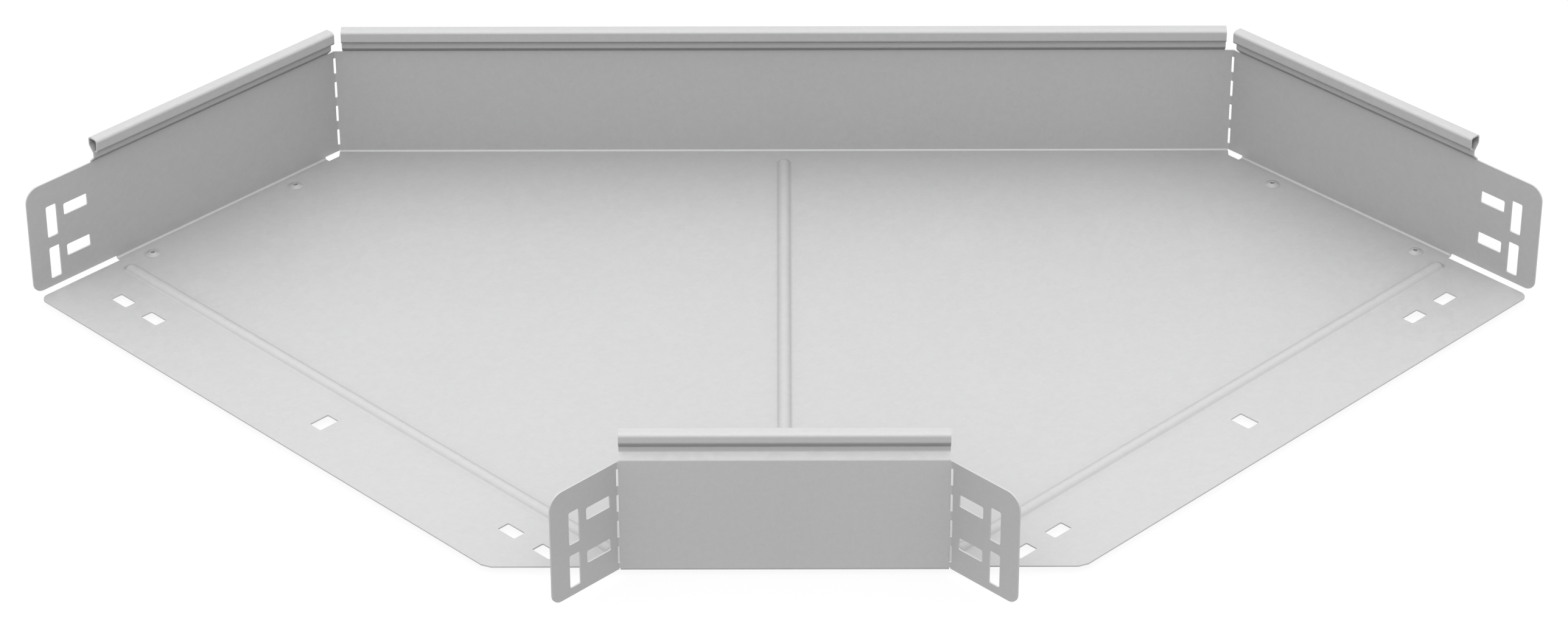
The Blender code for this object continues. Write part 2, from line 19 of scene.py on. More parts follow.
import bmesh
import bpy
from mathutils import Matrix, Vector

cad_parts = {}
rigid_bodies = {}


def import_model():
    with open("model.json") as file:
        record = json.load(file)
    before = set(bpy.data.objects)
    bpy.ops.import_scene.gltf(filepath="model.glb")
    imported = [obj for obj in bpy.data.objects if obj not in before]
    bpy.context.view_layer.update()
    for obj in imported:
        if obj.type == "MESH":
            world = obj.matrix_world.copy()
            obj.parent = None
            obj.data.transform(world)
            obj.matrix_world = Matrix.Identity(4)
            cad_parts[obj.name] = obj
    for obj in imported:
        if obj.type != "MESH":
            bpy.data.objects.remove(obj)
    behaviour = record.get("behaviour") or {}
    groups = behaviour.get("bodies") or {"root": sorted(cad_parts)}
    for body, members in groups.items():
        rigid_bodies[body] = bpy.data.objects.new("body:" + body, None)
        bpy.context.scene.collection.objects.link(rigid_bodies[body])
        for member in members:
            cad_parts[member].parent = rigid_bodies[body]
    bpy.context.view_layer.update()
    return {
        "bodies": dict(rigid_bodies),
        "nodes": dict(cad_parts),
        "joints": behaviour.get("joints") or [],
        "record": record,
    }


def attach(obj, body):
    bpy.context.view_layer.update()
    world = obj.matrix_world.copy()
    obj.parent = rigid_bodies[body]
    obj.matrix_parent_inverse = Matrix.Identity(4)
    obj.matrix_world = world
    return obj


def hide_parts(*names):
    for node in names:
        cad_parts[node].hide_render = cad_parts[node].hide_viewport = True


Point = tuple[float, float]
Corner = tuple[float, float, float]
Colour = tuple[float, float, float]
Settings = Optional[Mapping[str, Any]]
Sockets = Optional[Mapping[Any, Any]]

# Points this close, in metres, become one.
WELD = 1e-6
# Part of a step that is taken as rounding error.
ROUNDING = 1e-6
# Least Z in the normal of a level face.
LEVEL = 0.99
# Setting of the Weighted Normal modifier at which large faces lead most.
LARGEST_FACES_LEAD = 100
# Middle of a pattern that goes from 0 to 1.
HALF_WAY = 0.5
# Numbers of the Mix node's sockets for colours.
MIX_FACTOR, MIX_FIRST, MIX_SECOND, MIX_RESULT = 0, 6, 7, 2
UP = Vector((0, 0, 1)).freeze()
MIRROR = Matrix.Diagonal((-1, 1, 1, 1)).freeze()
BODY = "root"
log = logging.getLogger("tray_bend")


class Leg(Enum):
    """The two legs, each with the factor that takes the X of a point of the left leg to its own."""

    WEST = 1
    SOUTH = -1


class SheetSlot(Enum):
    """Material slots of the folded sheet."""

    FACE = 0
    CUT_EDGE = 1


def arc(centre: Point, radius: float, first: float, last: float, step: float) -> list[Point]:
    """Places points along an arc in a plane.

    Args:
        centre: Centre of the arc.
        radius: Its radius.
        first: Angle of the first point.
        last: Angle of the last point.
        step: The largest angle between two points.

    Returns:
        The points, both ends included.
    """
    count = max(1, math.ceil(abs(last - first) / step - ROUNDING))
    angles = [first + (last - first) * i / count for i in range(count + 1)]
    return [(centre[0] + radius * math.cos(a), centre[1] + radius * math.sin(a)) for a in angles]


def rounded_path(corners: Sequence[Corner], step: float, closed: bool = False) -> list[Point]:
    """Turns the corners of a path into arcs.

    Args:
        corners: The (x, y, radius) corners; a radius of 0 stays sharp.
        step: The largest angle between two points of an arc.
        closed: Whether the path ends where it starts.

    Returns:
        The points of the rounded path.
    """
    points: list[Point] = []
    count = len(corners)
    for index, (x, y, radius) in enumerate(corners):
        if radius == 0 or (not closed and index in (0, count - 1)):
            points.append((x, y))
            continue
        here = Vector((x, y))
        before = (Vector(corners[index - 1][:2]) - here).normalized()
        after = (Vector(corners[(index + 1) % count][:2]) - here).normalized()
        half_turn = before.angle(after) / 2
        centre = here + (before + after).normalized() * radius / math.sin(half_turn)
        start = here + before * radius / math.tan(half_turn) - centre
        end = here + after * radius / math.tan(half_turn) - centre
        first = math.atan2(start.y, start.x)
        sweep = math.atan2(start.x * end.y - start.y * end.x, start.dot(end))
        points += arc((centre.x, centre.y), radius, first, first + sweep, step)
    return points


def around(ring: Sequence[Any]) -> Iterable[tuple[Any, Any]]:
    """Pairs each item of a closed ring with the next one."""
    return zip(ring, [*ring[1:], ring[0]])


def axes(x: Vector, y: Vector, z: Vector) -> Matrix:
    """The turn that takes the three axes to x, y and z."""
    return Matrix((x, y, z)).transposed().to_4x4()


def grey(level: float) -> tuple[float, float, float, float]:
    """An opaque grey, from 0 for black to 1 for white."""
    return level, level, level, 1.0


def plain_object(name: str, shape: bmesh.types.BMesh) -> bpy.types.Object:
    """Puts a finished shape into the scene as a mesh object at the origin, and frees the shape.

    Args:
        name: Name of the object and its mesh.
        shape: The finished shape.

    Returns:
        The object.
    """
    mesh = bpy.data.meshes.new(name)
    shape.to_mesh(mesh)
    shape.free()
    made = bpy.data.objects.new(name, mesh)
    bpy.context.scene.collection.objects.link(made)
    return made


def bake_modifiers(obj: bpy.types.Object) -> None:
    """Replaces an object's mesh by what its modifiers make of it, and removes the modifiers.

    Args:
        obj: The object.
    """
    graph = bpy.context.evaluated_depsgraph_get()
    graph.update()
    baked = bpy.data.meshes.new_from_object(
        obj.evaluated_get(graph), preserve_all_data_layers=True, depsgraph=graph
    )
    obj.modifiers.clear()
    old = obj.data
    obj.data = baked
    baked.name = obj.name
    bpy.data.meshes.remove(old)


def smooth_with_flats(obj: bpy.types.Object, sharp_angle: float) -> None:
    """Shades bends smooth; flat faces keep their normal and edges past sharp_angle stay crisp.

    Args:
        obj: The object.
        sharp_angle: Angle between faces past which an edge is sharp.
    """
    obj.data.shade_smooth()
    obj.data.set_sharp_from_angle(angle=sharp_angle)
    weighted = obj.modifiers.new("Flat faces lead", "WEIGHTED_NORMAL")
    weighted.mode = "FACE_AREA"
    weighted.weight = LARGEST_FACES_LEAD
    weighted.keep_sharp = True
    bake_modifiers(obj)


def add_node(
    tree: bpy.types.NodeTree, kind: str, settings: Settings, sockets: Sockets
) -> bpy.types.Node:
    """Adds a node to a tree.

    Args:
        tree: The tree of a material, the world or a Geometry Nodes group.
        kind: Blender's type name of the node.
        settings: Its properties, set before the sockets.
        sockets: Values, or links as Val or socket, by the name or number of the input.

    Returns:
        The node.
    """
    made = tree.nodes.new(kind)
    for name, value in (settings or {}).items():
        setattr(made, name, value)
    for name, value in (sockets or {}).items():
        source = value.socket if isinstance(value, Val) else value
        if isinstance(source, bpy.types.NodeSocket):
            tree.links.new(source, made.inputs[name])
        else:
            made.inputs[name].default_value = source
    return made


class Val:
    """A socket of a shader tree, on which arithmetic adds the Math nodes that work it out."""

    def __init__(self, tree: "ShaderTree", socket: bpy.types.NodeSocket) -> None:
        """Wraps the socket of a tree."""
        self.tree = tree
        self.socket = socket

    def _math(self, operation: str, first: Any, second: Any, clamp: bool = False) -> "Val":
        """Adds one Math node and gives its result."""
        settings = {"operation": operation, "use_clamp": clamp}
        return self.tree.value("ShaderNodeMath", settings, {0: first, 1: second})

    def __add__(self, other: Any) -> "Val":
        """Adds a value or number."""
        return self._math("ADD", self, other)

    def __radd__(self, other: Any) -> "Val":
        """Adds this to a number."""
        return self._math("ADD", other, self)

    def __sub__(self, other: Any) -> "Val":
        """Takes a value or number away."""
        return self._math("SUBTRACT", self, other)

    def __rsub__(self, other: Any) -> "Val":
        """Takes this away from a number."""
        return self._math("SUBTRACT", other, self)

    def __mul__(self, other: Any) -> "Val":
        """Multiplies by a value or number."""
        return self._math("MULTIPLY", self, other)

    def __rmul__(self, other: Any) -> "Val":
        """Multiplies a number by this."""
        return self._math("MULTIPLY", other, self)

    def larger(self, other: Any) -> "Val":
        """Gives the larger of this and another value."""
        return self._math("MAXIMUM", self, other)

    def clamped(self) -> "Val":
        """Holds the value between 0 and 1."""
        return self._math("ADD", self, 0.0, clamp=True)

    def swing(self, reach: float) -> "Val":
        """Swings about 0 by half of reach to each side, as a pattern goes from 0 to 1."""
        return (self - HALF_WAY) * reach


def blended(patterns: Sequence[Val], shares: Sequence[float]) -> Val:
    """Adds patterns up, each times its share.

    Args:
        patterns: The patterns.
        shares: One share for each.

    Returns:
        The sum.
    """
    total = patterns[0] * shares[0]
    for pattern, share in zip(patterns[1:], shares[1:]):
        total = total + pattern * share
    return total


class ShaderTree:
    """Builds the node tree of a material or the world, one call for each node."""

    def __init__(self, tree: bpy.types.NodeTree) -> None:
        """Starts with an empty tree."""
        self.tree = tree
        self.tree.nodes.clear()

    def node(self, kind: str, settings: Settings = None, sockets: Sockets = None) -> bpy.types.Node:
        """Adds a node with its settings, then its values and links."""
        return add_node(self.tree, kind, settings, sockets)

    def value(
        self, kind: str, settings: Settings = None, sockets: Sockets = None, output: Any = 0
    ) -> Val:
        """Adds a node and gives one of its outputs, wrapped."""
        return Val(self, self.node(kind, settings, sockets).outputs[output])

    def object_space(self) -> Val:
        """The Object coordinates of a piece, in metres."""
        return self.value("ShaderNodeTexCoord", output="Object")

    def mapped(self, scale: Sequence[float], turn: float = 0.0) -> Val:
        """Object coordinates, stretched by scale and turned about Z."""
        sockets = {"Vector": self.object_space(), "Scale": scale, "Rotation": (0.0, 0.0, turn)}
        return self.value("ShaderNodeMapping", {"vector_type": "POINT"}, sockets)

    def noise(self, coords: Val, scale: float, detail: float, roughness: float = 0.5) -> Val:
        """Soft noise between 0 and 1."""
        sockets = {"Vector": coords, "Scale": scale, "Detail": detail, "Roughness": roughness}
        return self.value("ShaderNodeTexNoise", {"noise_dimensions": "3D"}, sockets, "Fac")

    def crystals(self, coords: Val, scale: float) -> Val:
        """One random grey for each cell of a Voronoi pattern.

        Args:
            coords: Where to read the pattern.
            scale: Cells in a metre.

        Returns:
            The grey.
        """
        cells = self.value(
            "ShaderNodeTexVoronoi",
            {"voronoi_dimensions": "3D", "feature": "F1"},
            {"Vector": coords, "Scale": scale, "Randomness": 1.0},
            "Color",
        )
        return self.value("ShaderNodeSeparateColor", {"mode": "RGB"}, {"Color": cells}, "Red")

    def blend(self, factor: Val, low: Colour, high: Colour) -> Val:
        """Mixes two colours by a factor.

        Args:
            factor: 0 gives the first colour, 1 the second.
            low: The first.
            high: The second.

        Returns:
            The mixed colour.
        """
        settings = {"data_type": "RGBA", "blend_type": "MIX", "clamp_factor": True}
        sockets = {MIX_FACTOR: factor, MIX_FIRST: (*low, 1.0), MIX_SECOND: (*high, 1.0)}
        return self.value("ShaderNodeMix", settings, sockets, MIX_RESULT)

    def bump(self, height: Val, relief: "Relief") -> Val:
        """A normal that follows a pattern of heights."""
        sockets = {"Height": height, "Strength": relief.strength, "Distance": relief.height}
        return self.value("ShaderNodeBump", {}, sockets, "Normal")

    def surface(self, **sockets: Any) -> None:
        """Ends the tree in a Principled BSDF with these sockets.

        Args:
            **sockets: Values or links by the name of the input, with _ for each space.
        """
        named = {name.replace("_", " "): value for name, value in sockets.items()}
        shader = self.node("ShaderNodeBsdfPrincipled", {}, named)
        self.node("ShaderNodeOutputMaterial", {}, {"Surface": shader.outputs["BSDF"]})


def new_material(name: str) -> tuple[bpy.types.Material, ShaderTree]:
    """Makes an empty material and its tree.

    Args:
        name: Name of the material.

    Returns:
        The material and its tree.
    """
    made = bpy.data.materials.new(name)
    made.use_nodes = True
    return made, ShaderTree(made.node_tree)


@dataclass(frozen=True)
class Relief:
    """How strongly a pattern shades a surface, and the height that its full range stands for."""

    strength: float
    height: float


@dataclass(frozen=True)
class GalvanisedFace:
    """Satin zinc coating: faint crystals, cloudy patches, slight orange peel and fine grain."""

    dark: Colour = (0.668, 0.669, 0.671)
    light: Colour = (0.752, 0.753, 0.755)
    metallic: float = 0.18
    roughness: float = 0.55
    crystal_scale: float = 330.0
    fine_crystals: float = 2.7
    warp_coarseness: float = 0.6
    cloud_scale: float = 14.0
    peel_scale: float = 620.0
    grain_scale: float = 2600.0
    roll_scale: float = 60.0
    roll_stretch: tuple[float, float, float] = (1.0, 14.0, 1.0)
    roll_turn: float = math.radians(45)
    mottle_shares: tuple[float, ...] = (0.28, 0.16, 0.26, 0.16, 0.14)
    roughness_swings: tuple[float, float, float] = (0.12, 0.08, 0.06)
    relief_shares: tuple[float, float, float] = (0.75, 0.1, 0.15)
    relief: Relief = Relief(0.6, 0.00008)

    def material(self) -> bpy.types.Material:
        """Builds the material.

        Returns:
            The material.
        """
        made, tree = new_material("galvanised_sheet_finish")
        coords = tree.object_space()
        warp = tree.noise(coords, self.crystal_scale * self.warp_coarseness, detail=2.0)
        crystals = tree.crystals(coords, self.crystal_scale)
        fine = tree.crystals(coords, self.crystal_scale * self.fine_crystals)
        clouds = tree.noise(coords, self.cloud_scale, detail=3.0)
        grain = tree.noise(coords, self.grain_scale, detail=2.0)
        along_rolling = tree.mapped(self.roll_stretch, self.roll_turn)
        rolled = tree.noise(along_rolling, self.roll_scale, detail=3.0)
        peel = tree.noise(coords, self.peel_scale, detail=1.0)
        mottle = blended((crystals, fine, clouds, rolled, warp), self.mottle_shares)
        roughness = self.roughness
        for pattern, swing in zip((crystals, grain, clouds), self.roughness_swings):
            roughness = roughness + pattern.swing(swing)
        tree.surface(
            Base_Color=tree.blend(mottle.clamped(), self.dark, self.light),
            Roughness=roughness,
            Metallic=self.metallic,
            Normal=tree.bump(blended((peel, grain, crystals), self.relief_shares), self.relief),
        )
        return made


@dataclass(frozen=True)
class SheetCutEdge:
    """Cut edge of the sheet and walls of its slots: brighter, with shear lines down the gauge."""

    dark: Colour = (0.70, 0.70, 0.70)
    light: Colour = (0.80, 0.80, 0.80)
    metallic: float = 0.25
    roughness: float = 0.50
    roughness_swing: float = 0.12
    shear_scale: float = 1400.0
    shear_stretch: tuple[float, float, float] = (1.0, 1.0, 0.12)
    relief: Relief = Relief(0.12, 0.00003)

    def material(self) -> bpy.types.Material:
        """Builds the material.

        Returns:
            The material.
        """
        made, tree = new_material("cut_edge_finish")
        shear = tree.noise(tree.mapped(self.shear_stretch), self.shear_scale, detail=2.0)
        tree.surface(
            Base_Color=tree.blend(shear, self.dark, self.light),
            Roughness=self.roughness + shear.swing(self.roughness_swing),
            Metallic=self.metallic,
            Normal=tree.bump(shear, self.relief),
        )
        return made


@dataclass(frozen=True)
class RivetZinc:
    """Zinc plating of the rivet bodies, a little smoother than the sheet."""

    dark: Colour = (0.66, 0.66, 0.66)
    light: Colour = (0.74, 0.74, 0.74)
    metallic: float = 0.22
    roughness: float = 0.50
    roughness_swings: tuple[float, float] = (0.12, 0.06)
    stain_scale: float = 420.0
    grain_scale: float = 3360.0
    relief: Relief = Relief(0.12, 0.00003)

    def material(self) -> bpy.types.Material:
        """Builds the material.

        Returns:
            The material.
        """
        made, tree = new_material("rivet_body_finish")
        coords = tree.object_space()
        stain = tree.noise(coords, self.stain_scale, detail=4.0)
        grain = tree.noise(coords, self.grain_scale, detail=2.0)
        by_stain, by_grain = self.roughness_swings
        tree.surface(
            Base_Color=tree.blend(stain, self.dark, self.light),
            Roughness=self.roughness + stain.swing(by_stain) + grain.swing(by_grain),
            Metallic=self.metallic,
            Normal=tree.bump(grain, self.relief),
        )
        return made


@dataclass(frozen=True)
class BrokenMandrel:
    """Dark, rough steel where a mandrel has snapped off in its bore."""

    dark: Colour = (0.020, 0.020, 0.021)
    light: Colour = (0.075, 0.075, 0.078)
    metallic: float = 0.7
    roughness: float = 0.6
    roughness_swing: float = 0.3
    break_scale: float = 2200.0
    break_harshness: float = 0.65
    relief: Relief = Relief(0.5, 0.0002)

    def material(self) -> bpy.types.Material:
        """Builds the material.

        Returns:
            The material.
        """
        made, tree = new_material("rivet_mandrel_finish")
        coords = tree.object_space()
        crumbs = tree.noise(coords, self.break_scale, detail=5.0, roughness=self.break_harshness)
        tree.surface(
            Base_Color=tree.blend(crumbs, self.dark, self.light),
            Roughness=self.roughness + crumbs.swing(self.roughness_swing),
            Metallic=self.metallic,
            Normal=tree.bump(crumbs, self.relief),
        )
        return made


@dataclass(frozen=True)
class Faceting:
    """How finely rounded shapes are divided."""

    bend: float = math.radians(7.5)
    corner: float = math.radians(11.25)
    bead_end: float = math.radians(11.25)
    fold_facets: int = 6
    turned: int = 64
    sharp: float = math.radians(28)


@dataclass(frozen=True)
class Gauge:
    """The sheet and its bends."""

    thickness: float = 0.0008
    bend_inner: float = 0.0011
    fold_inner: float = 0.0004
    lap_gap: float = 0.0001
    free_edge_drop: float = 0.00065

    @property
    def bend_outer(self) -> float:
        """Outer radius of a bottom bend."""
        return self.bend_inner + self.thickness

    @property
    def outer_foot(self) -> float:
        """Height at which a wall bent up from the floor becomes upright."""
        return self.bend_inner

    @property
    def free_edge(self) -> float:
        """Height of a wall's bottom edge where it has no bend."""
        return self.outer_foot - self.free_edge_drop

    @property
    def lap_foot(self) -> float:
        """Height at which a wall bent up from its lap becomes upright."""
        return self.outer_foot - self.thickness - self.lap_gap

    @property
    def lap_underside(self) -> float:
        """Height of the underside of the laps."""
        return -(2 * self.thickness + self.lap_gap)


@dataclass(frozen=True)
class BendPlan:
    """Plan of the bend over the outer faces of its sheet."""

    end_wall: float = 0.2145
    flap: float = 0.0446
    outside_width: float = 0.4069
    bracket: float = 0.1624
    fold_angle: float = math.radians(45)
    base_height: float = 0.0042
    turn: float = math.radians(-45)

    @property
    def run(self) -> Vector:
        """Direction of the left leg, from the fold to its open end."""
        return Vector((-math.sin(self.fold_angle), -math.cos(self.fold_angle), 0))

    @property
    def inward(self) -> Vector:
        """Direction from the left end wall into its leg."""
        return Vector((math.cos(self.fold_angle), -math.sin(self.fold_angle), 0))

    @property
    def outer_to_bracket(self) -> Vector:
        """From the left fold of the long wall to the left fold of the bracket."""
        return self.run * (self.end_wall - self.flap) + self.inward * self.outside_width

    @property
    def outer_vertex(self) -> Vector:
        """Left corner of the long wall's outer face."""
        return Vector((-self.bracket / 2 - self.outer_to_bracket.x, 0, 0))

    @property
    def bracket_vertex(self) -> Vector:
        """Left corner of the bracket's outer face."""
        return self.outer_vertex + self.outer_to_bracket

    @property
    def placement(self) -> Matrix:
        """Turns the working frame into the part's own frame."""
        place = Matrix.Translation((self.end_wall / 2, self.end_wall / 2, self.base_height))
        return place @ Matrix.Rotation(self.turn, 4, "Z")

    def leg_point(self, run: float, depth: float) -> Point:
        """A plan point of the left leg, so far along its end wall and so deep from that wall."""
        place = self.outer_vertex + self.run * run + self.inward * depth
        return place.x, place.y


@dataclass(frozen=True)
class RolledHem:
    """Hem rolled along the top of a wall; height and jog count from the top of the plain wall."""

    height: float = 0.01595
    jog_rise: float = 0.00075
    width: float = 0.0072
    depth: float = 0.00785
    lip: float = 0.0023
    shoulder: float = 0.0053
    neck_depth: float = 0.0032
    neck_height: float = 0.0028
    outer_radius: float = 0.0021
    inner_radius: float = 0.0019
    lip_radius: float = 0.0019
    shoulder_radius: float = 0.0025
    neck_radius: float = 0.0012
    jog_radius: float = 0.0012

    def section(self, wall_top: float, step: float) -> list[Point]:
        """Gives the hem's outer skin.

        Args:
            wall_top: Height of the top of the plain wall.
            step: The largest angle between two points of an arc.

        Returns:
            Points of (depth into the channel, height), from the wall round to the curled lip.
        """
        jog_foot = wall_top + self.jog_rise
        neck_foot = jog_foot + self.neck_depth
        top = wall_top + self.height
        corners: list[Corner] = [
            (0, wall_top, 0),
            (0, jog_foot, self.jog_radius),
            (self.neck_depth, neck_foot, self.neck_radius),
            (self.neck_depth, neck_foot + self.neck_height, self.neck_radius),
            (0, top - self.shoulder, self.shoulder_radius),
            (0, top, self.outer_radius),
            (self.width, top, self.inner_radius),
            (self.width, top - self.depth, self.lip_radius),
            (self.width - self.lip, top - self.depth, 0),
        ]
        return rounded_path(corners, step)


@dataclass(frozen=True)
class PressedBead:
    """Stiffening bead pressed up into the floor, round on top and drawn softly out of the flat."""

    radius: float = 0.0041
    height: float = 0.0024
    foot_radius: float = 0.0017

    def profile(self, thickness: float, step: float) -> list[Point]:
        """Gives the underside of half the bead.

        Args:
            thickness: Gauge of the sheet.
            step: The largest angle between two points of an arc.

        Returns:
            Points of (distance from the bead's line, height), from its middle to the flat floor.
        """
        crown_height = self.height - self.radius
        reach = self.radius + self.foot_radius
        drop = self.foot_radius - crown_height
        lean = math.acos(drop / reach)
        foot = reach * math.sin(lean)
        up = math.pi / 2
        crown = arc((0, crown_height), self.radius - thickness, up, up - lean, step)
        outer = arc((foot, self.foot_radius), self.foot_radius + thickness, -up - lean, -up, step)
        return crown + outer[1:]


@dataclass(frozen=True)
class PunchRow:
    """A row of equal rounded slots, cut straight through the sheet."""

    width: float
    length: float
    corner: float
    start: Matrix
    pitch: Vector = field(default_factory=lambda: Vector((0, 0, 0)))
    count: int = 1

    def mirrored(self) -> "PunchRow":
        """The same row on the other leg."""
        return replace(self, start=MIRROR @ self.start @ MIRROR, pitch=MIRROR @ self.pitch)


class NodeRecipe:
    """A Geometry Nodes tree with named inputs that ends in one realised, dressed mesh."""

    def __init__(self, name: str, inputs: Mapping[str, str]) -> None:
        """Makes the tree.

        Args:
            name: Name of the node group.
            inputs: Socket type of each named input.
        """
        self.tree = bpy.data.node_groups.new(name, "GeometryNodeTree")
        add = self.tree.interface.new_socket
        for side in ("OUTPUT", "INPUT"):
            add("Geometry", in_out=side, socket_type="NodeSocketGeometry")
        self.identifiers = {
            label: add(label, in_out="INPUT", socket_type=kind).identifier
            for label, kind in inputs.items()
        }
        self.given = self.tree.nodes.new("NodeGroupInput")

    def out(
        self, kind: str, settings: Settings = None, sockets: Sockets = None, output: Any = 0
    ) -> bpy.types.NodeSocket:
        """Adds a node with its settings, values and links, and gives one of its outputs."""
        return add_node(self.tree, kind, settings, sockets).outputs[output]

    def input(self, label: str) -> bpy.types.NodeSocket:
        """The socket of a named input inside the tree."""
        return self.given.outputs[label]

    def finish(self, geometry: bpy.types.NodeSocket, material: bpy.types.NodeSocket) -> None:
        """Ends the tree in Realize Instances and Set Material.

        Args:
            geometry: What the tree has made.
            material: Input that holds its finish.
        """
        realised = self.out("GeometryNodeRealizeInstances", {}, {"Geometry": geometry})
        sockets = {"Geometry": realised, "Material": material}
        dressed = self.out("GeometryNodeSetMaterial", {}, sockets)
        add_node(self.tree, "NodeGroupOutput", {}, {"Geometry": dressed})

    def apply(self, obj: bpy.types.Object, values: Mapping[str, Any]) -> None:
        """Runs the tree on an object with these values, and keeps the result as its plain mesh.

        Args:
            obj: The object that the tree reads.
            values: Value of each named input.
        """
        modifier = obj.modifiers.new(self.tree.name, "NODES")
        modifier.node_group = self.tree
        for label, value in values.items():
            modifier[self.identifiers[label]] = value
        bake_modifiers(obj)


class PunchPress:
    """Makes the punches of a row of slots: a filleted rectangle, drawn out and repeated."""

    def __init__(self, corner_steps: int, reach: float, edge: bpy.types.Material) -> None:
        """Builds the tree.

        Args:
            corner_steps: Points round each corner of a slot.
            reach: How far a punch goes to each side of the sheet.
            edge: Finish that the walls of the slots take.
        """
        self.reach = reach
        self.edge = edge
        self.corner_steps = corner_steps
        self.recipe = NodeRecipe(
            "slot_punches",
            {
                "Slot width": "NodeSocketFloat",
                "Slot length": "NodeSocketFloat",
                "Corner radius": "NodeSocketFloat",
                "Corner steps": "NodeSocketInt",
                "Reach": "NodeSocketFloat",
                "First slot": "NodeSocketVector",
                "Turn": "NodeSocketRotation",
                "Pitch": "NodeSocketVector",
                "Count": "NodeSocketInt",
                "Edge finish": "NodeSocketMaterial",
            },
        )
        self._build()

    def _build(self) -> None:
        """Adds the nodes from the flat outline to the repeated punches."""
        recipe, given = self.recipe, self.recipe.input
        outline = recipe.out(
            "GeometryNodeCurvePrimitiveQuadrilateral",
            {"mode": "RECTANGLE"},
            {"Width": given("Slot width"), "Height": given("Slot length")},
        )
        fillet = recipe.out(
            "GeometryNodeFilletCurve",
            {"mode": "POLY"},
            {
                "Curve": outline,
                "Count": given("Corner steps"),
                "Radius": given("Corner radius"),
                "Limit Radius": True,
            },
        )
        face = recipe.out("GeometryNodeFillCurve", {"mode": "NGONS"}, {"Curve": fillet})
        times = {"operation": "MULTIPLY"}
        depth = recipe.out("ShaderNodeMath", times, {0: given("Reach"), 1: 2.0})
        drawn = recipe.out(
            "GeometryNodeExtrudeMesh", {"mode": "FACES"}, {"Mesh": face, "Offset Scale": depth}
        )
        base = recipe.out("GeometryNodeFlipFaces", {}, {"Mesh": face})
        both = recipe.out("GeometryNodeJoinGeometry", {}, {"Geometry": drawn})
        recipe.tree.links.new(base, both.node.inputs[0])
        closed = recipe.out("GeometryNodeMergeByDistance", {}, {"Geometry": both, "Distance": WELD})
        down = recipe.out("ShaderNodeMath", times, {0: given("Reach"), 1: -1.0})
        lowered = recipe.out("ShaderNodeCombineXYZ", {}, {"Z": down})
        sockets = {"Geometry": closed, "Translation": lowered}
        centred = recipe.out("GeometryNodeTransform", {}, sockets)
        row = recipe.out(
            "GeometryNodeMeshLine",
            {"mode": "OFFSET", "count_mode": "TOTAL"},
            {
                "Count": given("Count"),
                "Start Location": given("First slot"),
                "Offset": given("Pitch"),
            },
        )
        sockets = {"Points": row, "Instance": centred, "Rotation": given("Turn")}
        placed = recipe.out("GeometryNodeInstanceOnPoints", {}, sockets)
        recipe.finish(placed, given("Edge finish"))

    def punches(self, rows: Iterable[PunchRow]) -> bpy.types.Object:
        """Makes all the punches as one plain mesh object.

        Args:
            rows: The rows of slots.

        Returns:
            The object.
        """
        every = bmesh.new()
        for index, row in enumerate(rows):
            blank = plain_object(f"punch_row_{index}", bmesh.new())
            self.recipe.apply(
                blank,
                {
                    "Slot width": row.width,
                    "Slot length": row.length,
                    "Corner radius": row.corner,
                    "Corner steps": self.corner_steps,
                    "Reach": self.reach,
                    "First slot": row.start.to_translation(),
                    "Turn": row.start.to_euler(),
                    "Pitch": row.pitch,
                    "Count": row.count,
                    "Edge finish": self.edge,
                },
            )
            every.from_mesh(blank.data)
            bpy.data.objects.remove(blank)
        bmesh.ops.recalc_face_normals(every, faces=every.faces)
        made = plain_object("punches", every)
        made.data.materials.append(self.edge)
        return made


@dataclass(frozen=True)
class Station:
    """A place along a folded wall: a point on its outer face and the way into the channel."""

    origin: Vector
    inward: Vector

    def place(self, point: Point) -> Vector:
        """Where a point of the wall's section, (depth, height), lies in the working frame."""
        depth, height = point
        return self.origin + self.inward * depth + UP * height


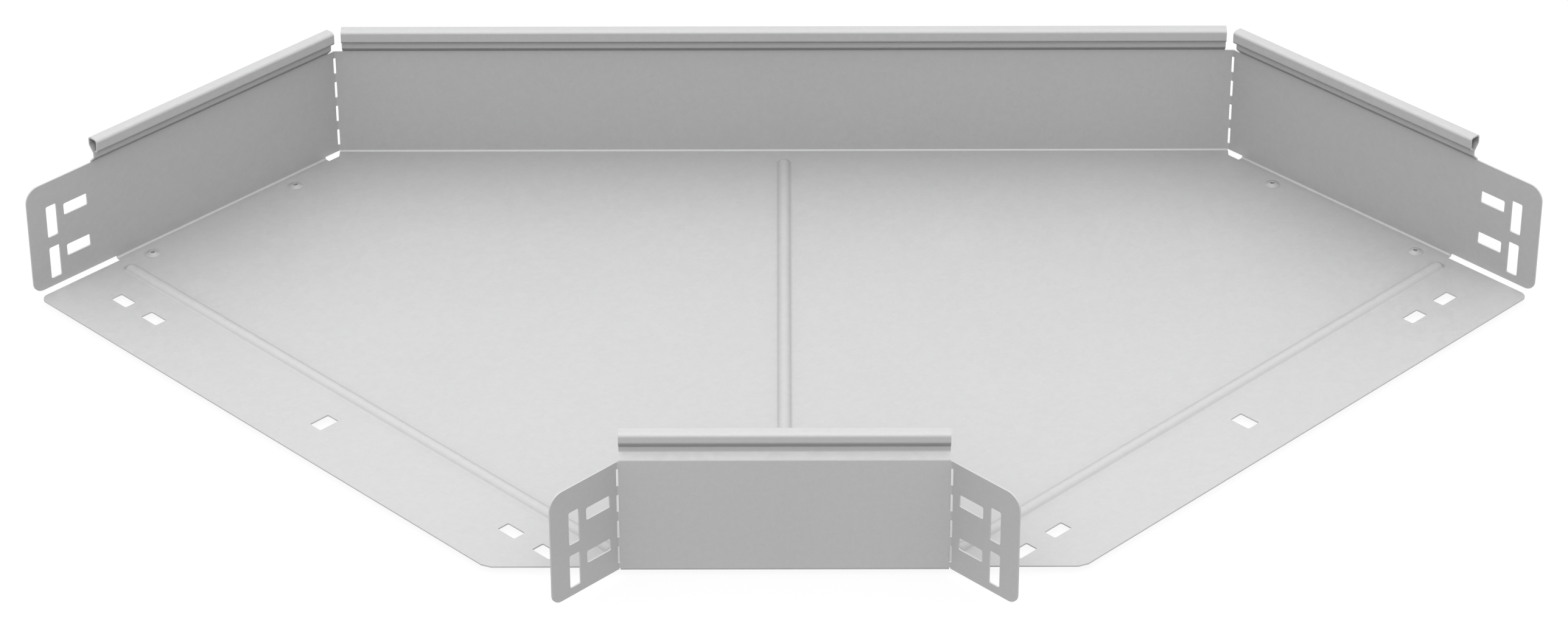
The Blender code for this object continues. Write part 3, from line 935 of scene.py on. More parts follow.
@dataclass
class FoldedSheet:
    """The one folded sheet: beaded floor, long wall, lapped end walls, bracket with flaps, hems."""

    plan: BendPlan = field(default_factory=BendPlan)
    gauge: Gauge = field(default_factory=Gauge)
    hem: RolledHem = field(default_factory=RolledHem)
    bead: PressedBead = field(default_factory=PressedBead)
    faceting: Faceting = field(default_factory=Faceting)
    wall_top: float = 0.06375
    floor_side_setback: float = 0.0050
    floor_front_setback: float = 0.0030
    floor_corner_radius: float = 0.005
    floor_chamfer: float = 0.003
    long_hem_setback: float = 0.0051
    end_hem_start: float = 0.0049
    end_hem_end: float = 0.1704
    bracket_hem_setback: float = 0.0007
    bend_relief: float = 0.0006
    lap_start: float = 0.0106
    lap_end: float = 0.1586
    lap_width: float = 0.020
    lap_corner_radius: float = 0.004
    wall_top_corner_radius: float = 0.008
    wall_foot_corner_radius: float = 0.006
    side_bead_from_end: float = 0.0533
    side_bead_end_setback: float = 0.0123
    centre_bead_back_setback: float = 0.0104
    centre_bead_front_setback: float = 0.0120
    slit: Point = (0.0015, 0.0099)
    slit_pitch: float = 0.01515
    slit_count: int = 4
    lowest_slit: float = 0.0092
    slit_corner: float = 0.0003
    wall_slot_corner: float = 0.0010
    upright_slot: Point = (0.0070, 0.0190)
    upright_slot_from_end: float = 0.0155
    lowest_upright_slot: float = 0.0145
    level_slot: Point = (0.0158, 0.0070)
    level_slot_from_end: float = 0.0315
    lowest_level_slot: float = 0.0180
    slot_pitch: float = 0.0253
    slots_in_row: int = 2
    floor_slot: Point = (0.0123, 0.0073)
    floor_slot_corner: float = 0.0009
    floor_slot_from_end: float = 0.0299
    floor_slot_row_shift: float = 0.0008
    floor_slot_inset: float = 0.03795
    middle_slot: Point = (0.0083, 0.0123)
    middle_slot_from_end: float = 0.0282
    punch_reach: float = 0.006
    corner_steps: int = 6
    rivet_hole_radius: float = 0.0025
    round_share: float = 0.999
    rivet_from_wall: float = 0.0123
    rivet_distances: tuple[float, float] = (0.0423, 0.1433)

    def build(self, face: bpy.types.Material, edge: bpy.types.Material) -> bpy.types.Object:
        """Makes the finished sheet.

        Args:
            face: Finish of the rolled faces.
            edge: Finish of the cut edges.

        Returns:
            The sheet, as a plain mesh in the part's frame.
        """
        sheet = plain_object("folded_sheet", self._skin())
        finishes = {SheetSlot.FACE: face, SheetSlot.CUT_EDGE: edge}
        for slot in SheetSlot:
            sheet.data.materials.append(finishes[slot])
        gauge = sheet.modifiers.new("Gauge", "SOLIDIFY")
        gauge.thickness = self.gauge.thickness
        gauge.offset = -1
        gauge.use_even_offset = True
        gauge.use_quality_normals = True
        gauge.material_offset_rim = SheetSlot.CUT_EDGE.value
        bake_modifiers(sheet)
        punches = PunchPress(self.corner_steps, self.punch_reach, edge).punches(self._all_rows())
        cut = sheet.modifiers.new("Slots", "BOOLEAN")
        cut.operation = "DIFFERENCE"
        cut.solver = "EXACT"
        cut.material_mode = "TRANSFER"
        cut.object = punches
        bake_modifiers(sheet)
        bpy.data.objects.remove(punches)
        sheet.data.transform(self.plan.placement)
        smooth_with_flats(sheet, self.faceting.sharp)
        return sheet

    def _bent_wall(self) -> list[Point]:
        """Section of a plain wall above its bottom bend."""
        return [(0, self.gauge.outer_foot), (0, self.wall_top)]

    def _free_wall(self) -> list[Point]:
        """Section of a plain wall down to its free bottom edge."""
        return [(0, self.gauge.free_edge), *self._bent_wall()]

    def _lapped_wall(self) -> list[Point]:
        """Section of an end wall down to the bend of its lap."""
        return [(0, self.gauge.lap_foot), *self._free_wall()]

    def _hem_section(self) -> list[Point]:
        """Section of the hem on top of a wall."""
        return self.hem.section(self.wall_top, self.faceting.bend)

    def _bend_section(self, foot: float) -> list[Point]:
        """Section of a bottom bend whose wall starts at height foot."""
        outer = self.gauge.bend_outer
        return arc((outer, foot), outer, -math.pi / 2, -math.pi, self.faceting.bend)

    def _long_wall_station(self, x: float) -> Station:
        """A station of the long wall."""
        return Station(Vector((x, 0, 0)), Vector((0, -1, 0)))

    def _end_wall_station(self, run: float) -> Station:
        """A station of the left end wall."""
        return Station(self.plan.outer_vertex + self.plan.run * run, self.plan.inward)

    def _bracket_station(self, x: float) -> Station:
        """A station of the bracket."""
        return Station(Vector((x, self.plan.bracket_vertex.y, 0)), Vector((0, 1, 0)))

    def _flap_station(self, run: float) -> Station:
        """A station of the left flap."""
        return Station(self.plan.bracket_vertex + self.plan.run * run, -self.plan.inward)

    def _fold_stations(self, vertex: Vector, radius: float, side: int) -> list[Station]:
        """Stations round a vertical fold.

        Args:
            vertex: Where the outer faces would meet.
            radius: Radius of the outer face.
            side: 1 where the channel lies inside the fold, -1 where it lies outside.

        Returns:
            The stations, from the wall in the middle to the folded one.
        """
        centre = vertex + Vector((radius * math.tan(self.plan.fold_angle / 2), -radius, 0))
        stations = []
        for index in range(self.faceting.fold_facets + 1):
            turn = self.plan.fold_angle * index / self.faceting.fold_facets
            inward = Vector((side * math.sin(turn), -side * math.cos(turn), 0))
            stations.append(Station(centre - inward * side * radius, inward))
        return stations

    @staticmethod
    def _sweep(
        skin: bmesh.types.BMesh, section: Sequence[Point], stations: Sequence[Station]
    ) -> None:
        """Adds the strips that a section leaves from station to station.

        Args:
            skin: The sheet's outer skin.
            section: Points of (depth, height).
            stations: Where the section stands, in order.
        """
        for first, last in zip(stations, stations[1:]):
            verts = [skin.verts.new(first.place(point)) for point in section]
            edges = [skin.edges.new(pair) for pair in zip(verts, verts[1:])]
            swept = bmesh.ops.extrude_edge_only(skin, edges=edges)["geom"]
            moved = [item for item in swept if isinstance(item, bmesh.types.BMVert)]
            bmesh.ops.translate(skin, verts=moved, vec=last.origin - first.origin)

    def _stops(self, vertex: Vector, hem_setback: float) -> list[float]:
        """Places from a wall's middle out to its fold: where the hem ends and the bend ends."""
        return sorted([0.0, vertex.x + hem_setback, vertex.x + self.bend_relief], reverse=True)

    def _wall_half(
        self,
        skin: bmesh.types.BMesh,
        station: Callable[[float], Station],
        vertex: Vector,
        hem_setback: float,
        fold: Sequence[Station],
    ) -> None:
        """Adds half of a wall that is bent up from the floor, with its hem, out to its fold.

        Args:
            skin: The sheet's outer skin.
            station: Gives the wall's station at a place along it.
            vertex: Corner of the wall's outer face.
            hem_setback: How far the hem ends from that corner.
            fold: Stations of the fold there.
        """
        stops = self._stops(vertex, hem_setback)
        stations = [station(x) for x in stops]
        hemmed = [station(x) for x in stops if x >= vertex.x + hem_setback]
        bent = [station(x) for x in stops if x >= vertex.x + self.bend_relief]
        self._sweep(skin, self._bent_wall(), [*stations, fold[0]])
        self._sweep(skin, self._free_wall(), fold)
        self._sweep(skin, self._hem_section(), hemmed)
        self._sweep(skin, self._bend_section(self.gauge.outer_foot), bent)

    def _end_panel(
        self, skin: bmesh.types.BMesh, station: Callable[[float], Station], start: float, end: float
    ) -> None:
        """Adds the flat end of a wall or flap, with a large round on top and a small one below.

        Args:
            skin: The sheet's outer skin.
            station: Gives the wall's station at a distance from its fold.
            start: Distance at which the panel starts.
            end: Distance of its free end.
        """
        outline = rounded_path(
            [
                (start, self.gauge.outer_foot, 0),
                (start, self.gauge.free_edge, 0),
                (end, self.gauge.free_edge, self.wall_foot_corner_radius),
                (end, self.wall_top, self.wall_top_corner_radius),
                (start, self.wall_top, 0),
            ],
            self.faceting.corner,
            closed=True,
        )
        skin.faces.new([skin.verts.new(station(run).place((0, height))) for run, height in outline])

    def _long_wall(self, skin: bmesh.types.BMesh) -> Station:
        """Adds the left half of the long wall, and gives the last station of its fold.

        Args:
            skin: The sheet's outer skin.

        Returns:
            The last station of the fold.
        """
        vertex = self.plan.outer_vertex
        fold = self._fold_stations(vertex, self.gauge.fold_inner + self.gauge.thickness, 1)
        self._wall_half(skin, self._long_wall_station, vertex, self.long_hem_setback, fold)
        return fold[-1]

    def _end_wall(self, skin: bmesh.types.BMesh, fold_end: Station) -> None:
        """Adds the left end wall: plain at its ends, hemmed between, with a lap under the floor.

        Args:
            skin: The sheet's outer skin.
            fold_end: The last station of the fold it starts from.
        """
        fold_run = self.plan.run.dot(fold_end.origin - self.plan.outer_vertex)
        hem, lap = (self.end_hem_start, self.end_hem_end), (self.lap_start, self.lap_end)
        runs = sorted([fold_run, *hem, *lap])
        for start, end in zip(runs, runs[1:]):
            ends = [self._end_wall_station(start), self._end_wall_station(end)]
            lapped = lap[0] <= start < lap[1]
            self._sweep(skin, self._lapped_wall() if lapped else self._free_wall(), ends)
            if lapped:
                self._sweep(skin, self._bend_section(self.gauge.lap_foot), ends)
            if hem[0] <= start < hem[1]:
                self._sweep(skin, self._hem_section(), ends)
        self._end_panel(skin, self._end_wall_station, runs[-1], self.plan.end_wall)
        corners: list[Corner] = [
            *[(run, self.gauge.bend_outer, 0) for run in runs if lap[0] <= run <= lap[1]],
            (lap[1], self.lap_width, self.lap_corner_radius),
            (lap[0], self.lap_width, self.lap_corner_radius),
        ]
        outline = rounded_path(corners, self.faceting.corner, closed=True)
        under = self.gauge.lap_underside
        places = [self._end_wall_station(run).place((depth, under)) for run, depth in outline]
        skin.faces.new([skin.verts.new(place) for place in places])

    def _bracket(self, skin: bmesh.types.BMesh) -> None:
        """Adds the left half of the inner bracket, with the flap that folds off its side.

        Args:
            skin: The sheet's outer skin.
        """
        vertex = self.plan.bracket_vertex
        fold = self._fold_stations(vertex, self.gauge.fold_inner, -1)
        self._wall_half(skin, self._bracket_station, vertex, self.bracket_hem_setback, fold)
        start = self.plan.run.dot(fold[-1].origin - vertex)
        self._end_panel(skin, self._flap_station, start, self.plan.flap)

    def _floor_outline(self) -> list[Point]:
        """Outline of the floor, from the foot of the long wall's bend to that of the bracket's.

        Returns:
            Its points in plan, round once.
        """
        plan = self.plan
        back = -self.gauge.bend_outer
        bend_front = plan.bracket_vertex.y + self.gauge.bend_outer
        free_front = plan.bracket_vertex.y + self.floor_front_setback
        notch_x = plan.outer_vertex.x + self.bend_relief
        notch_run = self.floor_side_setback - (notch_x - plan.outer_vertex.x) / plan.inward.x
        opening = -(free_front + plan.outer_vertex.y) / math.sin(plan.fold_angle) - plan.end_wall
        bracket_end = plan.bracket_vertex.x + self.bend_relief
        wall_stops = self._stops(plan.outer_vertex, self.long_hem_setback)
        bracket_stops = self._stops(plan.bracket_vertex, self.bracket_hem_setback)
        left: list[Corner] = [
            *[(x, back, 0) for x in wall_stops if x >= notch_x],
            (*plan.leg_point(notch_run, self.floor_side_setback), 0),
            (*plan.leg_point(plan.end_wall, self.floor_side_setback), self.floor_corner_radius),
            (*plan.leg_point(plan.end_wall, opening - self.floor_chamfer), 0),
            (plan.leg_point(plan.end_wall, opening)[0] + self.floor_chamfer, free_front, 0),
            (bracket_end, free_front, 0),
            *[(x, bend_front, 0) for x in reversed(bracket_stops) if x >= bracket_end],
        ]
        path = rounded_path(left, self.faceting.corner, closed=True)
        right = [(-x, y) for x, y in reversed(path) if x < 0]
        return path + right

    def _bead_lines(self) -> list[tuple[Vector, Vector]]:
        """Centres of the round ends of the three beads.

        Returns:
            The two centres of each bead.
        """
        plan, bead = self.plan, self.bead
        run = plan.end_wall - self.side_bead_from_end
        near = self.side_bead_end_setback + bead.radius
        left = [Vector(plan.leg_point(run, depth)) for depth in (near, plan.outside_width - near)]
        right = [Vector((-end.x, end.y)) for end in left]
        rim = self.gauge.thickness + bead.radius
        back = -(self.centre_bead_back_setback + rim)
        front = plan.bracket_vertex.y + self.centre_bead_front_setback + rim
        return [(left[0], left[1]), (right[0], right[1]), (Vector((0, back)), Vector((0, front)))]

    def _bead_rings(
        self, skin: bmesh.types.BMesh, first: Vector, last: Vector
    ) -> list[bmesh.types.BMEdge]:
        """Adds one bead as rings round its line.

        Args:
            skin: The sheet's outer skin.
            first: Centre of its first round end.
            last: Centre of its other round end.

        Returns:
            The edges of its foot, where the flat floor begins.
        """
        heading = (last - first).normalized()
        angle = math.atan2(heading.y, heading.x)
        profile = self.bead.profile(self.gauge.thickness, self.faceting.bend)
        rings = []
        for distance, height in profile:
            outline = []
            for end, start in ((last, angle - math.pi / 2), (first, angle + math.pi / 2)):
                half_turn = (start, start + math.pi)
                outline += arc((end.x, end.y), distance, *half_turn, self.faceting.bead_end)
            rings.append([skin.verts.new((x, y, height)) for x, y in outline])
        for ring, wider in zip(rings, rings[1:]):
            for (inner, inner_next), (outer, outer_next) in zip(around(ring), around(wider)):
                skin.faces.new((inner, inner_next, outer_next, outer))
        return [skin.edges.get(pair) for pair in around(rings[-1])]

    def _floor(self, skin: bmesh.types.BMesh) -> None:
        """Adds the floor with its three beads.

        Args:
            skin: The sheet's outer skin.
        """
        loose = bmesh.new()
        edges: list[bmesh.types.BMEdge] = []
        for first, last in self._bead_lines():
            edges += self._bead_rings(loose, first, last)
        rim = [loose.verts.new((x, y, -self.gauge.thickness)) for x, y in self._floor_outline()]
        edges += [loose.edges.new(pair) for pair in around(rim)]
        bmesh.ops.triangle_fill(loose, use_beauty=True, edges=edges, normal=(0, 0, -1))
        bmesh.ops.remove_doubles(loose, verts=loose.verts, dist=WELD)
        part = bpy.data.meshes.new("floor")
        loose.to_mesh(part)
        loose.free()
        skin.from_mesh(part)
        bpy.data.meshes.remove(part)

    def _skin(self) -> bmesh.types.BMesh:
        """The sheet's outer skin as one open surface that faces out.

        Returns:
            The skin.
        """
        skin = bmesh.new()
        fold_end = self._long_wall(skin)
        self._end_wall(skin, fold_end)
        self._bracket(skin)
        half = skin.verts[:] + skin.edges[:] + skin.faces[:]
        copied = bmesh.ops.duplicate(skin, geom=half)["geom"]
        verts = [item for item in copied if isinstance(item, bmesh.types.BMVert)]
        bmesh.ops.transform(skin, matrix=MIRROR, verts=verts)
        self._floor(skin)
        bmesh.ops.remove_doubles(skin, verts=skin.verts, dist=WELD)
        bmesh.ops.recalc_face_normals(skin, faces=skin.faces)
        level = [face for face in skin.faces if abs(face.normal.z) > LEVEL]
        floor_or_lap = max(level, key=lambda face: face.calc_area())
        if floor_or_lap.normal.z > 0:
            bmesh.ops.reverse_faces(skin, faces=skin.faces)
        return skin

    @staticmethod
    def _upright_frame(origin: Vector, run: Vector, height: float) -> Matrix:
        """A frame on a wall, at a height over origin: X along its run, Y up, Z through it."""
        return Matrix.Translation(origin + UP * height) @ axes(run, UP, run.cross(UP))

    def _floor_frame(self, run: float, depth: float) -> Matrix:
        """A frame at a leg_point of the floor: X into the channel, Y along the leg, Z up."""
        place = (*self.plan.leg_point(run, depth), 0)
        return Matrix.Translation(place) @ axes(self.plan.inward, self.plan.run, UP)

    def _wall_rows(self, station: Callable[[float], Station], length: float) -> list[PunchRow]:
        """The two upright and two level slots near the free end of a wall or flap.

        Args:
            station: Gives the wall's station at a distance from its fold.
            length: Its length.

        Returns:
            The two rows.
        """
        pitch = UP * self.slot_pitch
        rows = []
        for slot, from_end, lowest in (
            (self.upright_slot, self.upright_slot_from_end, self.lowest_upright_slot),
            (self.level_slot, self.level_slot_from_end, self.lowest_level_slot),
        ):
            frame = self._upright_frame(station(length - from_end).origin, self.plan.run, lowest)
            row = PunchRow(*slot, self.wall_slot_corner, frame, pitch, self.slots_in_row)
            rows.append(row)
        return rows

    def _slit_row(self, vertex: Vector) -> PunchRow:
        """The slits that weaken a fold line, square to the fold's bisector.

        Args:
            vertex: Foot of the fold line.

        Returns:
            The row.
        """
        half = self.plan.fold_angle / 2
        run = Vector((-math.cos(half), -math.sin(half), 0))
        frame = self._upright_frame(vertex, run, self.lowest_slit)
        pitch = UP * self.slit_pitch
        return PunchRow(*self.slit, self.slit_corner, frame, pitch, self.slit_count)

    def _floor_rows(self) -> list[PunchRow]:
        """The five slots across the floor near the open end; the middle one lies the other way.

        Returns:
            The rows.
        """
        run = self.plan.end_wall - self.floor_slot_from_end
        centre = self.plan.outside_width / 2 + self.floor_slot_row_shift
        reach = self.plan.outside_width / 2 - self.floor_slot_inset
        pitch = self.plan.inward * self.slot_pitch
        near = self._floor_frame(run, centre - reach)
        pair = self.slot_pitch * (self.slots_in_row - 1)
        far = self._floor_frame(run, centre + reach - pair)
        middle = self._floor_frame(self.plan.end_wall - self.middle_slot_from_end, centre)
        corner = self.floor_slot_corner
        return [
            PunchRow(*self.floor_slot, corner, near, pitch, self.slots_in_row),
            PunchRow(*self.floor_slot, corner, far, pitch, self.slots_in_row),
            PunchRow(*self.middle_slot, corner, middle),
        ]

    def _rivet_rows(self) -> list[PunchRow]:
        """The round holes under the rivets, as slots whose corners meet.

        Returns:
            One row for each rivet.
        """
        size = 2 * self.rivet_hole_radius
        corner = self.rivet_hole_radius * self.round_share
        return [
            PunchRow(size, size, corner, self._floor_frame(run, self.rivet_from_wall))
            for run in self.rivet_distances
        ]

    def _all_rows(self) -> list[PunchRow]:
        """Every row of slots and holes on both legs.

        Returns:
            The rows.
        """
        rows = self._wall_rows(self._end_wall_station, self.plan.end_wall)
        rows += self._wall_rows(self._flap_station, self.plan.flap)
        rows += [self._slit_row(self.plan.outer_vertex), self._slit_row(self.plan.bracket_vertex)]
        rows += self._floor_rows()
        rows += self._rivet_rows()
        return rows + [row.mirrored() for row in rows]


@dataclass
class BlindRivets:
    """The four set rivets: headed bodies, and the snapped mandrels that stay in their bores."""

    sheet: FoldedSheet
    clearance: float = 0.0001
    shank_radius: float = 0.0024
    head_radius: float = 0.0045
    head_height: float = 0.0013
    seat_gap: float = 0.00002
    rim_height: float = 0.00005
    mouth_rounding: float = 0.00015
    dome_steps: int = 16
    dome_fullness: float = 0.8
    tail_radius: float = 0.0033
    tail_height: float = 0.0024
    tail_rounding: float = 0.0006
    mandrel_radius: float = 0.0011
    mandrel_head_radius: float = 0.0019
    mandrel_head_height: float = 0.0012
    mandrel_recess: float = 0.0018
    break_depth: float = 0.00025
    break_dish: tuple[Point, ...] = ((0.0, 1.0), (0.5, 0.7), (0.8, 0.15), (1.0, 0.0))
    seed: int = 7

    def build(
        self, body: bpy.types.Material, mandrel: bpy.types.Material
    ) -> list[bpy.types.Object]:
        """Makes the rivet bodies and the mandrels, one plain mesh for each kind.

        Args:
            body: Finish of the bodies.
            mandrel: Finish of the broken mandrels.

        Returns:
            The bodies' object, then the mandrels'.
        """
        recipe = self._recipe()
        made = []
        for name, profile, closed, finish in (
            ("rivet_bodies", self._body_profile(), True, body),
            ("rivet_mandrels", self._mandrel_profile(), False, mandrel),
        ):
            turned = self._turned(f"{name}_pattern", profile, closed)
            places = bmesh.new()
            for leg in Leg:
                for run in self.sheet.rivet_distances:
                    x, y = self.sheet.plan.leg_point(run, self.sheet.rivet_from_wall)
                    places.verts.new((leg.value * x, y, 0))
            rivets = plain_object(name, places)
            recipe.apply(rivets, {"Turned piece": turned, "Seed": self.seed, "Finish": finish})
            bpy.data.objects.remove(turned)
            rivets.data.transform(self.sheet.plan.placement)
            smooth_with_flats(rivets, self.sheet.faceting.sharp)
            made.append(rivets)
        return made

    @staticmethod
    def _recipe() -> NodeRecipe:
        """The tree that sets a turned piece on every point, each turned by its own angle.

        Returns:
            The tree.
        """
        recipe = NodeRecipe(
            "set_rivets",
            {
                "Turned piece": "NodeSocketObject",
                "Seed": "NodeSocketInt",
                "Finish": "NodeSocketMaterial",
            },
        )
        piece = recipe.out(
            "GeometryNodeObjectInfo",
            {"transform_space": "ORIGINAL"},
            {"Object": recipe.input("Turned piece")},
            "Geometry",
        )
        # Only the sockets of the chosen data type are enabled.
        sockets = {"Seed": recipe.input("Seed")}
        spin = add_node(recipe.tree, "FunctionNodeRandomValue", {"data_type": "FLOAT"}, sockets)
        low, high = [socket for socket in spin.inputs if socket.enabled][:2]
        low.default_value = 0.0
        high.default_value = 2 * math.pi
        angle = [socket for socket in spin.outputs if socket.enabled][0]
        upright = recipe.out("ShaderNodeCombineXYZ", {}, {"Z": angle})
        turn = recipe.out("FunctionNodeEulerToRotation", {}, {0: upright})
        sockets = {"Mesh": recipe.input("Geometry")}
        points = recipe.out("GeometryNodeMeshToPoints", {"mode": "VERTICES"}, sockets)
        sockets = {"Points": points, "Instance": piece, "Rotation": turn}
        placed = recipe.out("GeometryNodeInstanceOnPoints", {}, sockets)
        recipe.finish(placed, recipe.input("Finish"))
        return recipe

    def _turned(self, name: str, profile: Sequence[Point], closed: bool) -> bpy.types.Object:
        """Spins a profile of (radius, height) about Z into a closed piece.

        Args:
            name: Name of the object.
            profile: Points of (radius, height).
            closed: Whether the last point joins the first, or both lie on the axis.

        Returns:
            The object.
        """
        shape = bmesh.new()
        verts = [shape.verts.new((radius, 0, height)) for radius, height in profile]
        pairs = around(verts) if closed else zip(verts, verts[1:])
        edges = [shape.edges.new(pair) for pair in pairs]
        bmesh.ops.spin(
            shape,
            geom=verts + edges,
            cent=(0, 0, 0),
            axis=(0, 0, 1),
            dvec=(0, 0, 0),
            angle=2 * math.pi,
            steps=self.sheet.faceting.turned,
        )
        bmesh.ops.remove_doubles(shape, verts=shape.verts, dist=WELD)
        bmesh.ops.recalc_face_normals(shape, faces=shape.faces)
        return plain_object(name, shape)

    def _heights(self) -> tuple[float, float, float, float]:
        """Heights of the seat, the tail's top and foot, and the top of the pocket inside it.

        Returns:
            The four heights, in that order.
        """
        tail_top = self.sheet.gauge.lap_underside - self.clearance
        tail_foot = tail_top - self.tail_height
        pocket_top = tail_foot + self.mandrel_head_height + 2 * self.clearance
        return self.seat_gap, tail_top, tail_foot, pocket_top

    def _dome(self, bore: float, low: float, high: float) -> list[Point]:
        """Top of a head, from bore to rim: a low dome that runs out softly in a thin brim.

        Args:
            bore: Radius of the bore.
            low: Height of the rim.
            high: Height on the axis.

        Returns:
            Points of (radius, height).
        """
        points = []
        for index in range(self.dome_steps + 1):
            share = index / self.dome_steps
            radius = bore + (self.head_radius - bore) * share
            wave = (1 + math.cos(math.pi * radius / self.head_radius)) / 2
            points.append((radius, low + (high - low) * wave**self.dome_fullness))
        return points

    def _body_profile(self) -> list[Point]:
        """Outline of a body: domed head, shank, upset tail and the bore with its pocket.

        Returns:
            Points of (radius, height), round once.
        """
        seat, tail_top, tail_foot, pocket_top = self._heights()
        bore = self.mandrel_radius + self.clearance
        pocket = self.mandrel_head_radius + self.clearance
        dome = self._dome(bore, seat + self.rim_height, seat + self.head_height)
        mouth = dome[0][1]
        outline: list[Corner] = [
            (pocket, pocket_top, 0),
            (bore, pocket_top, 0),
            (bore, mouth, self.mouth_rounding),
            *[(x, z, 0) for x, z in dome[1:]],
            (self.head_radius, seat, 0),
            (self.shank_radius, seat, 0),
            (self.shank_radius, tail_top, 0),
            (self.tail_radius, tail_top, self.tail_rounding),
            (self.tail_radius, tail_foot, self.tail_rounding),
            (pocket, tail_foot, 0),
        ]
        return rounded_path(outline, self.sheet.faceting.corner, closed=True)

    def _mandrel_profile(self) -> list[Point]:
        """Outline of a snapped mandrel: a dished break, the stem and the head inside the tail.

        Returns:
            Points of (radius, height), from axis to axis.
        """
        seat, _, tail_foot, pocket_top = self._heights()
        top = seat + self.head_height - self.mandrel_recess
        foot = tail_foot + self.clearance
        head_top = pocket_top - self.clearance
        radius, depth = self.mandrel_radius, self.break_depth
        return [
            *[(radius * out, top - depth * down) for out, down in self.break_dish],
            (self.mandrel_radius, head_top),
            (self.mandrel_head_radius, head_top),
            (self.mandrel_head_radius, foot),
            (0, foot),
        ]


@dataclass(frozen=True)
class Softbox:
    """A square soft lamp, placed in the working frame and turned to the middle of the bend."""

    name: str
    place: tuple[float, float, float]
    size: float
    power: float

    def build(self, placement: Matrix) -> None:
        """Adds the lamp, unseen by the camera.

        Args:
            placement: Turns the working frame into the part's own.
        """
        data = bpy.data.lights.new(self.name, "AREA")
        data.shape = "SQUARE"
        data.size = self.size
        data.energy = self.power
        lamp = bpy.data.objects.new(self.name, data)
        lamp.location = placement @ Vector(self.place)
        lamp.rotation_euler = lamp.location.to_track_quat("Z", "Y").to_euler()
        lamp.visible_camera = False
        bpy.context.scene.collection.objects.link(lamp)


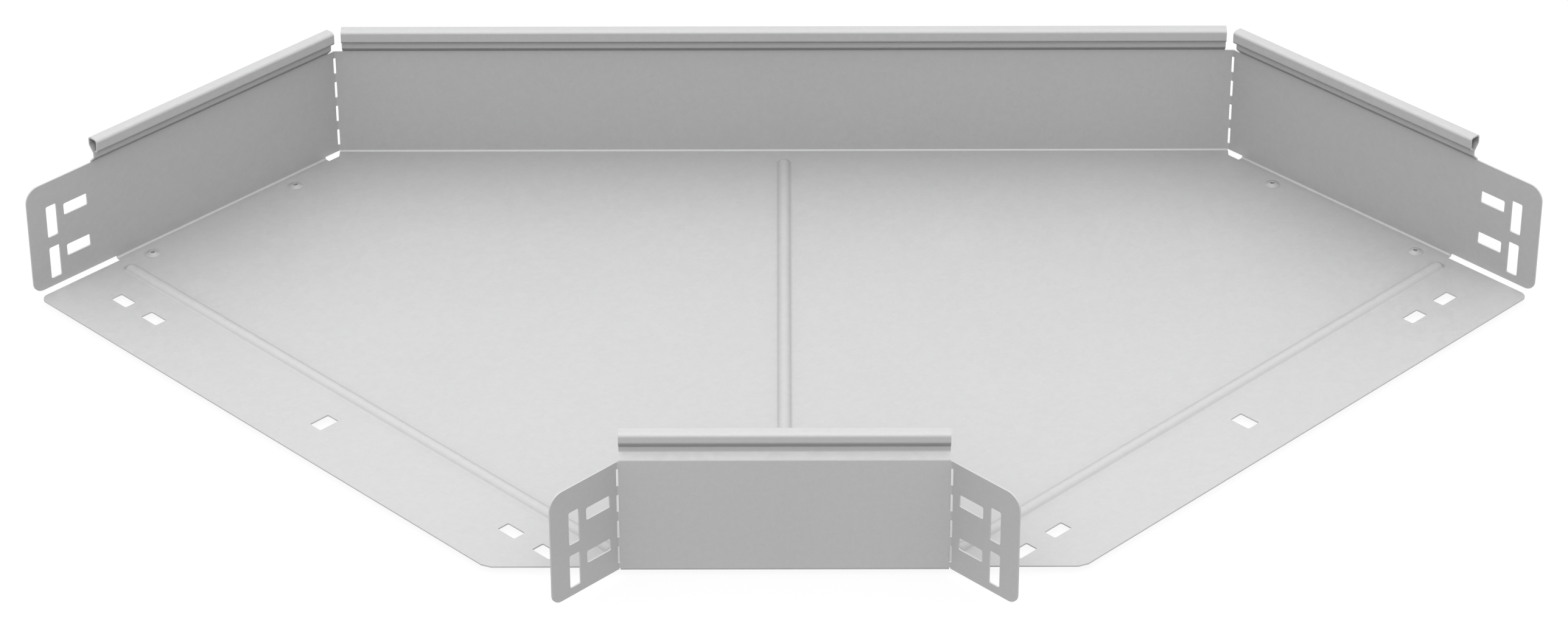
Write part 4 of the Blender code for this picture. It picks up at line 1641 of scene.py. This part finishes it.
@dataclass
class Studio:
    """Pale floor, white surroundings, two soft lamps and the camera of the photograph."""

    plan: BendPlan = field(default_factory=BendPlan)
    floor_size: float = 30.0
    floor_grey: float = 0.70
    floor_glow: float = 0.925
    floor_lift: float = 0.08
    shadow_share: float = 0.11
    ambient: float = 0.62
    overhead: Softbox = Softbox("overhead_softbox", (-0.10, -0.15, 1.25), 3.0, 9.8)
    front: Softbox = Softbox("front_softbox", (-0.20, -2.3, 2.4), 2.0, 22.0)
    passed_on_light: int = 0
    camera_place: tuple[float, float, float] = (-0.0008065, -2.4342563, 1.425115)
    camera_pitch: float = 0.5623363
    camera_yaw: float = -0.0003024
    camera_roll: float = -0.0014543
    lens: float = 115.73
    sensor: float = 36.0
    view_reach: float = 100.0

    def build(self) -> None:
        """Sets up the floor, the surroundings, the lamps and the camera."""
        self._floor()
        self._surroundings()
        for softbox in (self.overhead, self.front):
            softbox.build(self.plan.placement)
        self._camera()
        bpy.context.scene.view_settings.view_transform = "Standard"
        bpy.context.scene.cycles.diffuse_bounces = self.passed_on_light

    @staticmethod
    def _finish(tree: ShaderTree, shown: bpy.types.Node, lit: bpy.types.Node, output: str) -> None:
        """Ends a tree in one shader for rays that show it, and another for those that light.

        Args:
            tree: The tree.
            shown: Shader for what the camera sees, also in metal.
            lit: Shader for all other rays.
            output: Type name of the output node.
        """
        path = tree.node("ShaderNodeLightPath")
        names = ("Is Camera Ray", "Is Glossy Ray", "Is Transmission Ray")
        camera, glossy, through = (Val(tree, path.outputs[name]) for name in names)
        shows = camera.larger(glossy).larger(through)
        sockets = {0: shows, 1: lit.outputs[0], 2: shown.outputs[0]}
        mixed = tree.node("ShaderNodeMixShader", {}, sockets)
        tree.node(output, {}, {"Surface": mixed.outputs[0]})

    def _floor(self) -> None:
        """A pale floor that shows as white and keeps a trace of the shadow."""
        shape = bmesh.new()
        bmesh.ops.create_grid(shape, x_segments=1, y_segments=1, size=self.floor_size / 2)
        floor = plain_object("studio_floor", shape)
        made, tree = new_material("studio_floor_finish")
        matt = tree.node("ShaderNodeBsdfDiffuse", {}, {"Color": grey(self.floor_grey)})
        trace = tree.node("ShaderNodeBsdfDiffuse", {}, {"Color": grey(self.shadow_share)})
        glow = tree.node("ShaderNodeEmission", {}, {"Strength": self.floor_glow})
        lift = tree.node("ShaderNodeEmission", {}, {"Strength": self.floor_lift})
        shown = tree.node("ShaderNodeAddShader", {}, {0: glow.outputs[0], 1: trace.outputs[0]})
        lit = tree.node("ShaderNodeAddShader", {}, {0: lift.outputs[0], 1: matt.outputs[0]})
        self._finish(tree, shown, lit, "ShaderNodeOutputMaterial")
        floor.data.materials.append(made)

    def _surroundings(self) -> None:
        """White surroundings for what is seen, and an even soft light for what is lit."""
        world = bpy.data.worlds.new("studio_surroundings")
        world.use_nodes = True
        tree = ShaderTree(world.node_tree)
        white = grey(1.0)
        lit = tree.node("ShaderNodeBackground", {}, {"Color": white, "Strength": self.ambient})
        shown = tree.node("ShaderNodeBackground", {}, {"Color": white, "Strength": 1.0})
        self._finish(tree, shown, lit, "ShaderNodeOutputWorld")
        bpy.context.scene.world = world

    def _camera(self) -> None:
        """The camera, as fitted to the photograph in the working frame."""
        pitch, yaw = self.camera_pitch, self.camera_yaw
        right = Vector((math.cos(yaw), math.sin(yaw), 0))
        level = Vector((-math.sin(yaw), math.cos(yaw), 0)) * math.cos(pitch)
        ahead = level - UP * math.sin(pitch)
        roll = Matrix.Rotation(self.camera_roll, 4, "Z")
        turn = axes(right, right.cross(ahead), -ahead) @ roll
        data = bpy.data.cameras.new("photo_camera")
        data.lens = self.lens
        data.sensor_width = self.sensor
        data.clip_end = self.view_reach
        camera = bpy.data.objects.new("photo_camera", data)
        place = Matrix.Translation(self.camera_place)
        camera.matrix_world = self.plan.placement @ place @ turn
        bpy.context.scene.collection.objects.link(camera)
        bpy.context.scene.camera = camera


def main() -> None:
    """Builds the sheet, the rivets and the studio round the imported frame."""
    logging.basicConfig(level=logging.INFO, format="%(name)s: %(message)s")
    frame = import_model()
    nodes = sorted(frame["nodes"])

    sheet_sizes = FoldedSheet()
    sheet = sheet_sizes.build(GalvanisedFace().material(), SheetCutEdge().material())
    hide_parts("tray_sheet")
    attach(sheet, BODY)
    log.info("%s: %d faces", sheet.name, len(sheet.data.polygons))

    rivets = BlindRivets(sheet_sizes)
    bodies, mandrels = rivets.build(RivetZinc().material(), BrokenMandrel().material())
    for piece, prefix, slot in (
        (bodies, "rivet_body_", "rivet_steel"),
        (mandrels, "rivet_mandrel_", "mandrel_steel"),
    ):
        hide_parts(*[node for node in nodes if node.startswith(prefix)])
        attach(piece, BODY)
        log.info("%s: %d faces", piece.name, len(piece.data.polygons))

    Studio(sheet_sizes.plan).build()


if __name__ == "__main__":
    main()
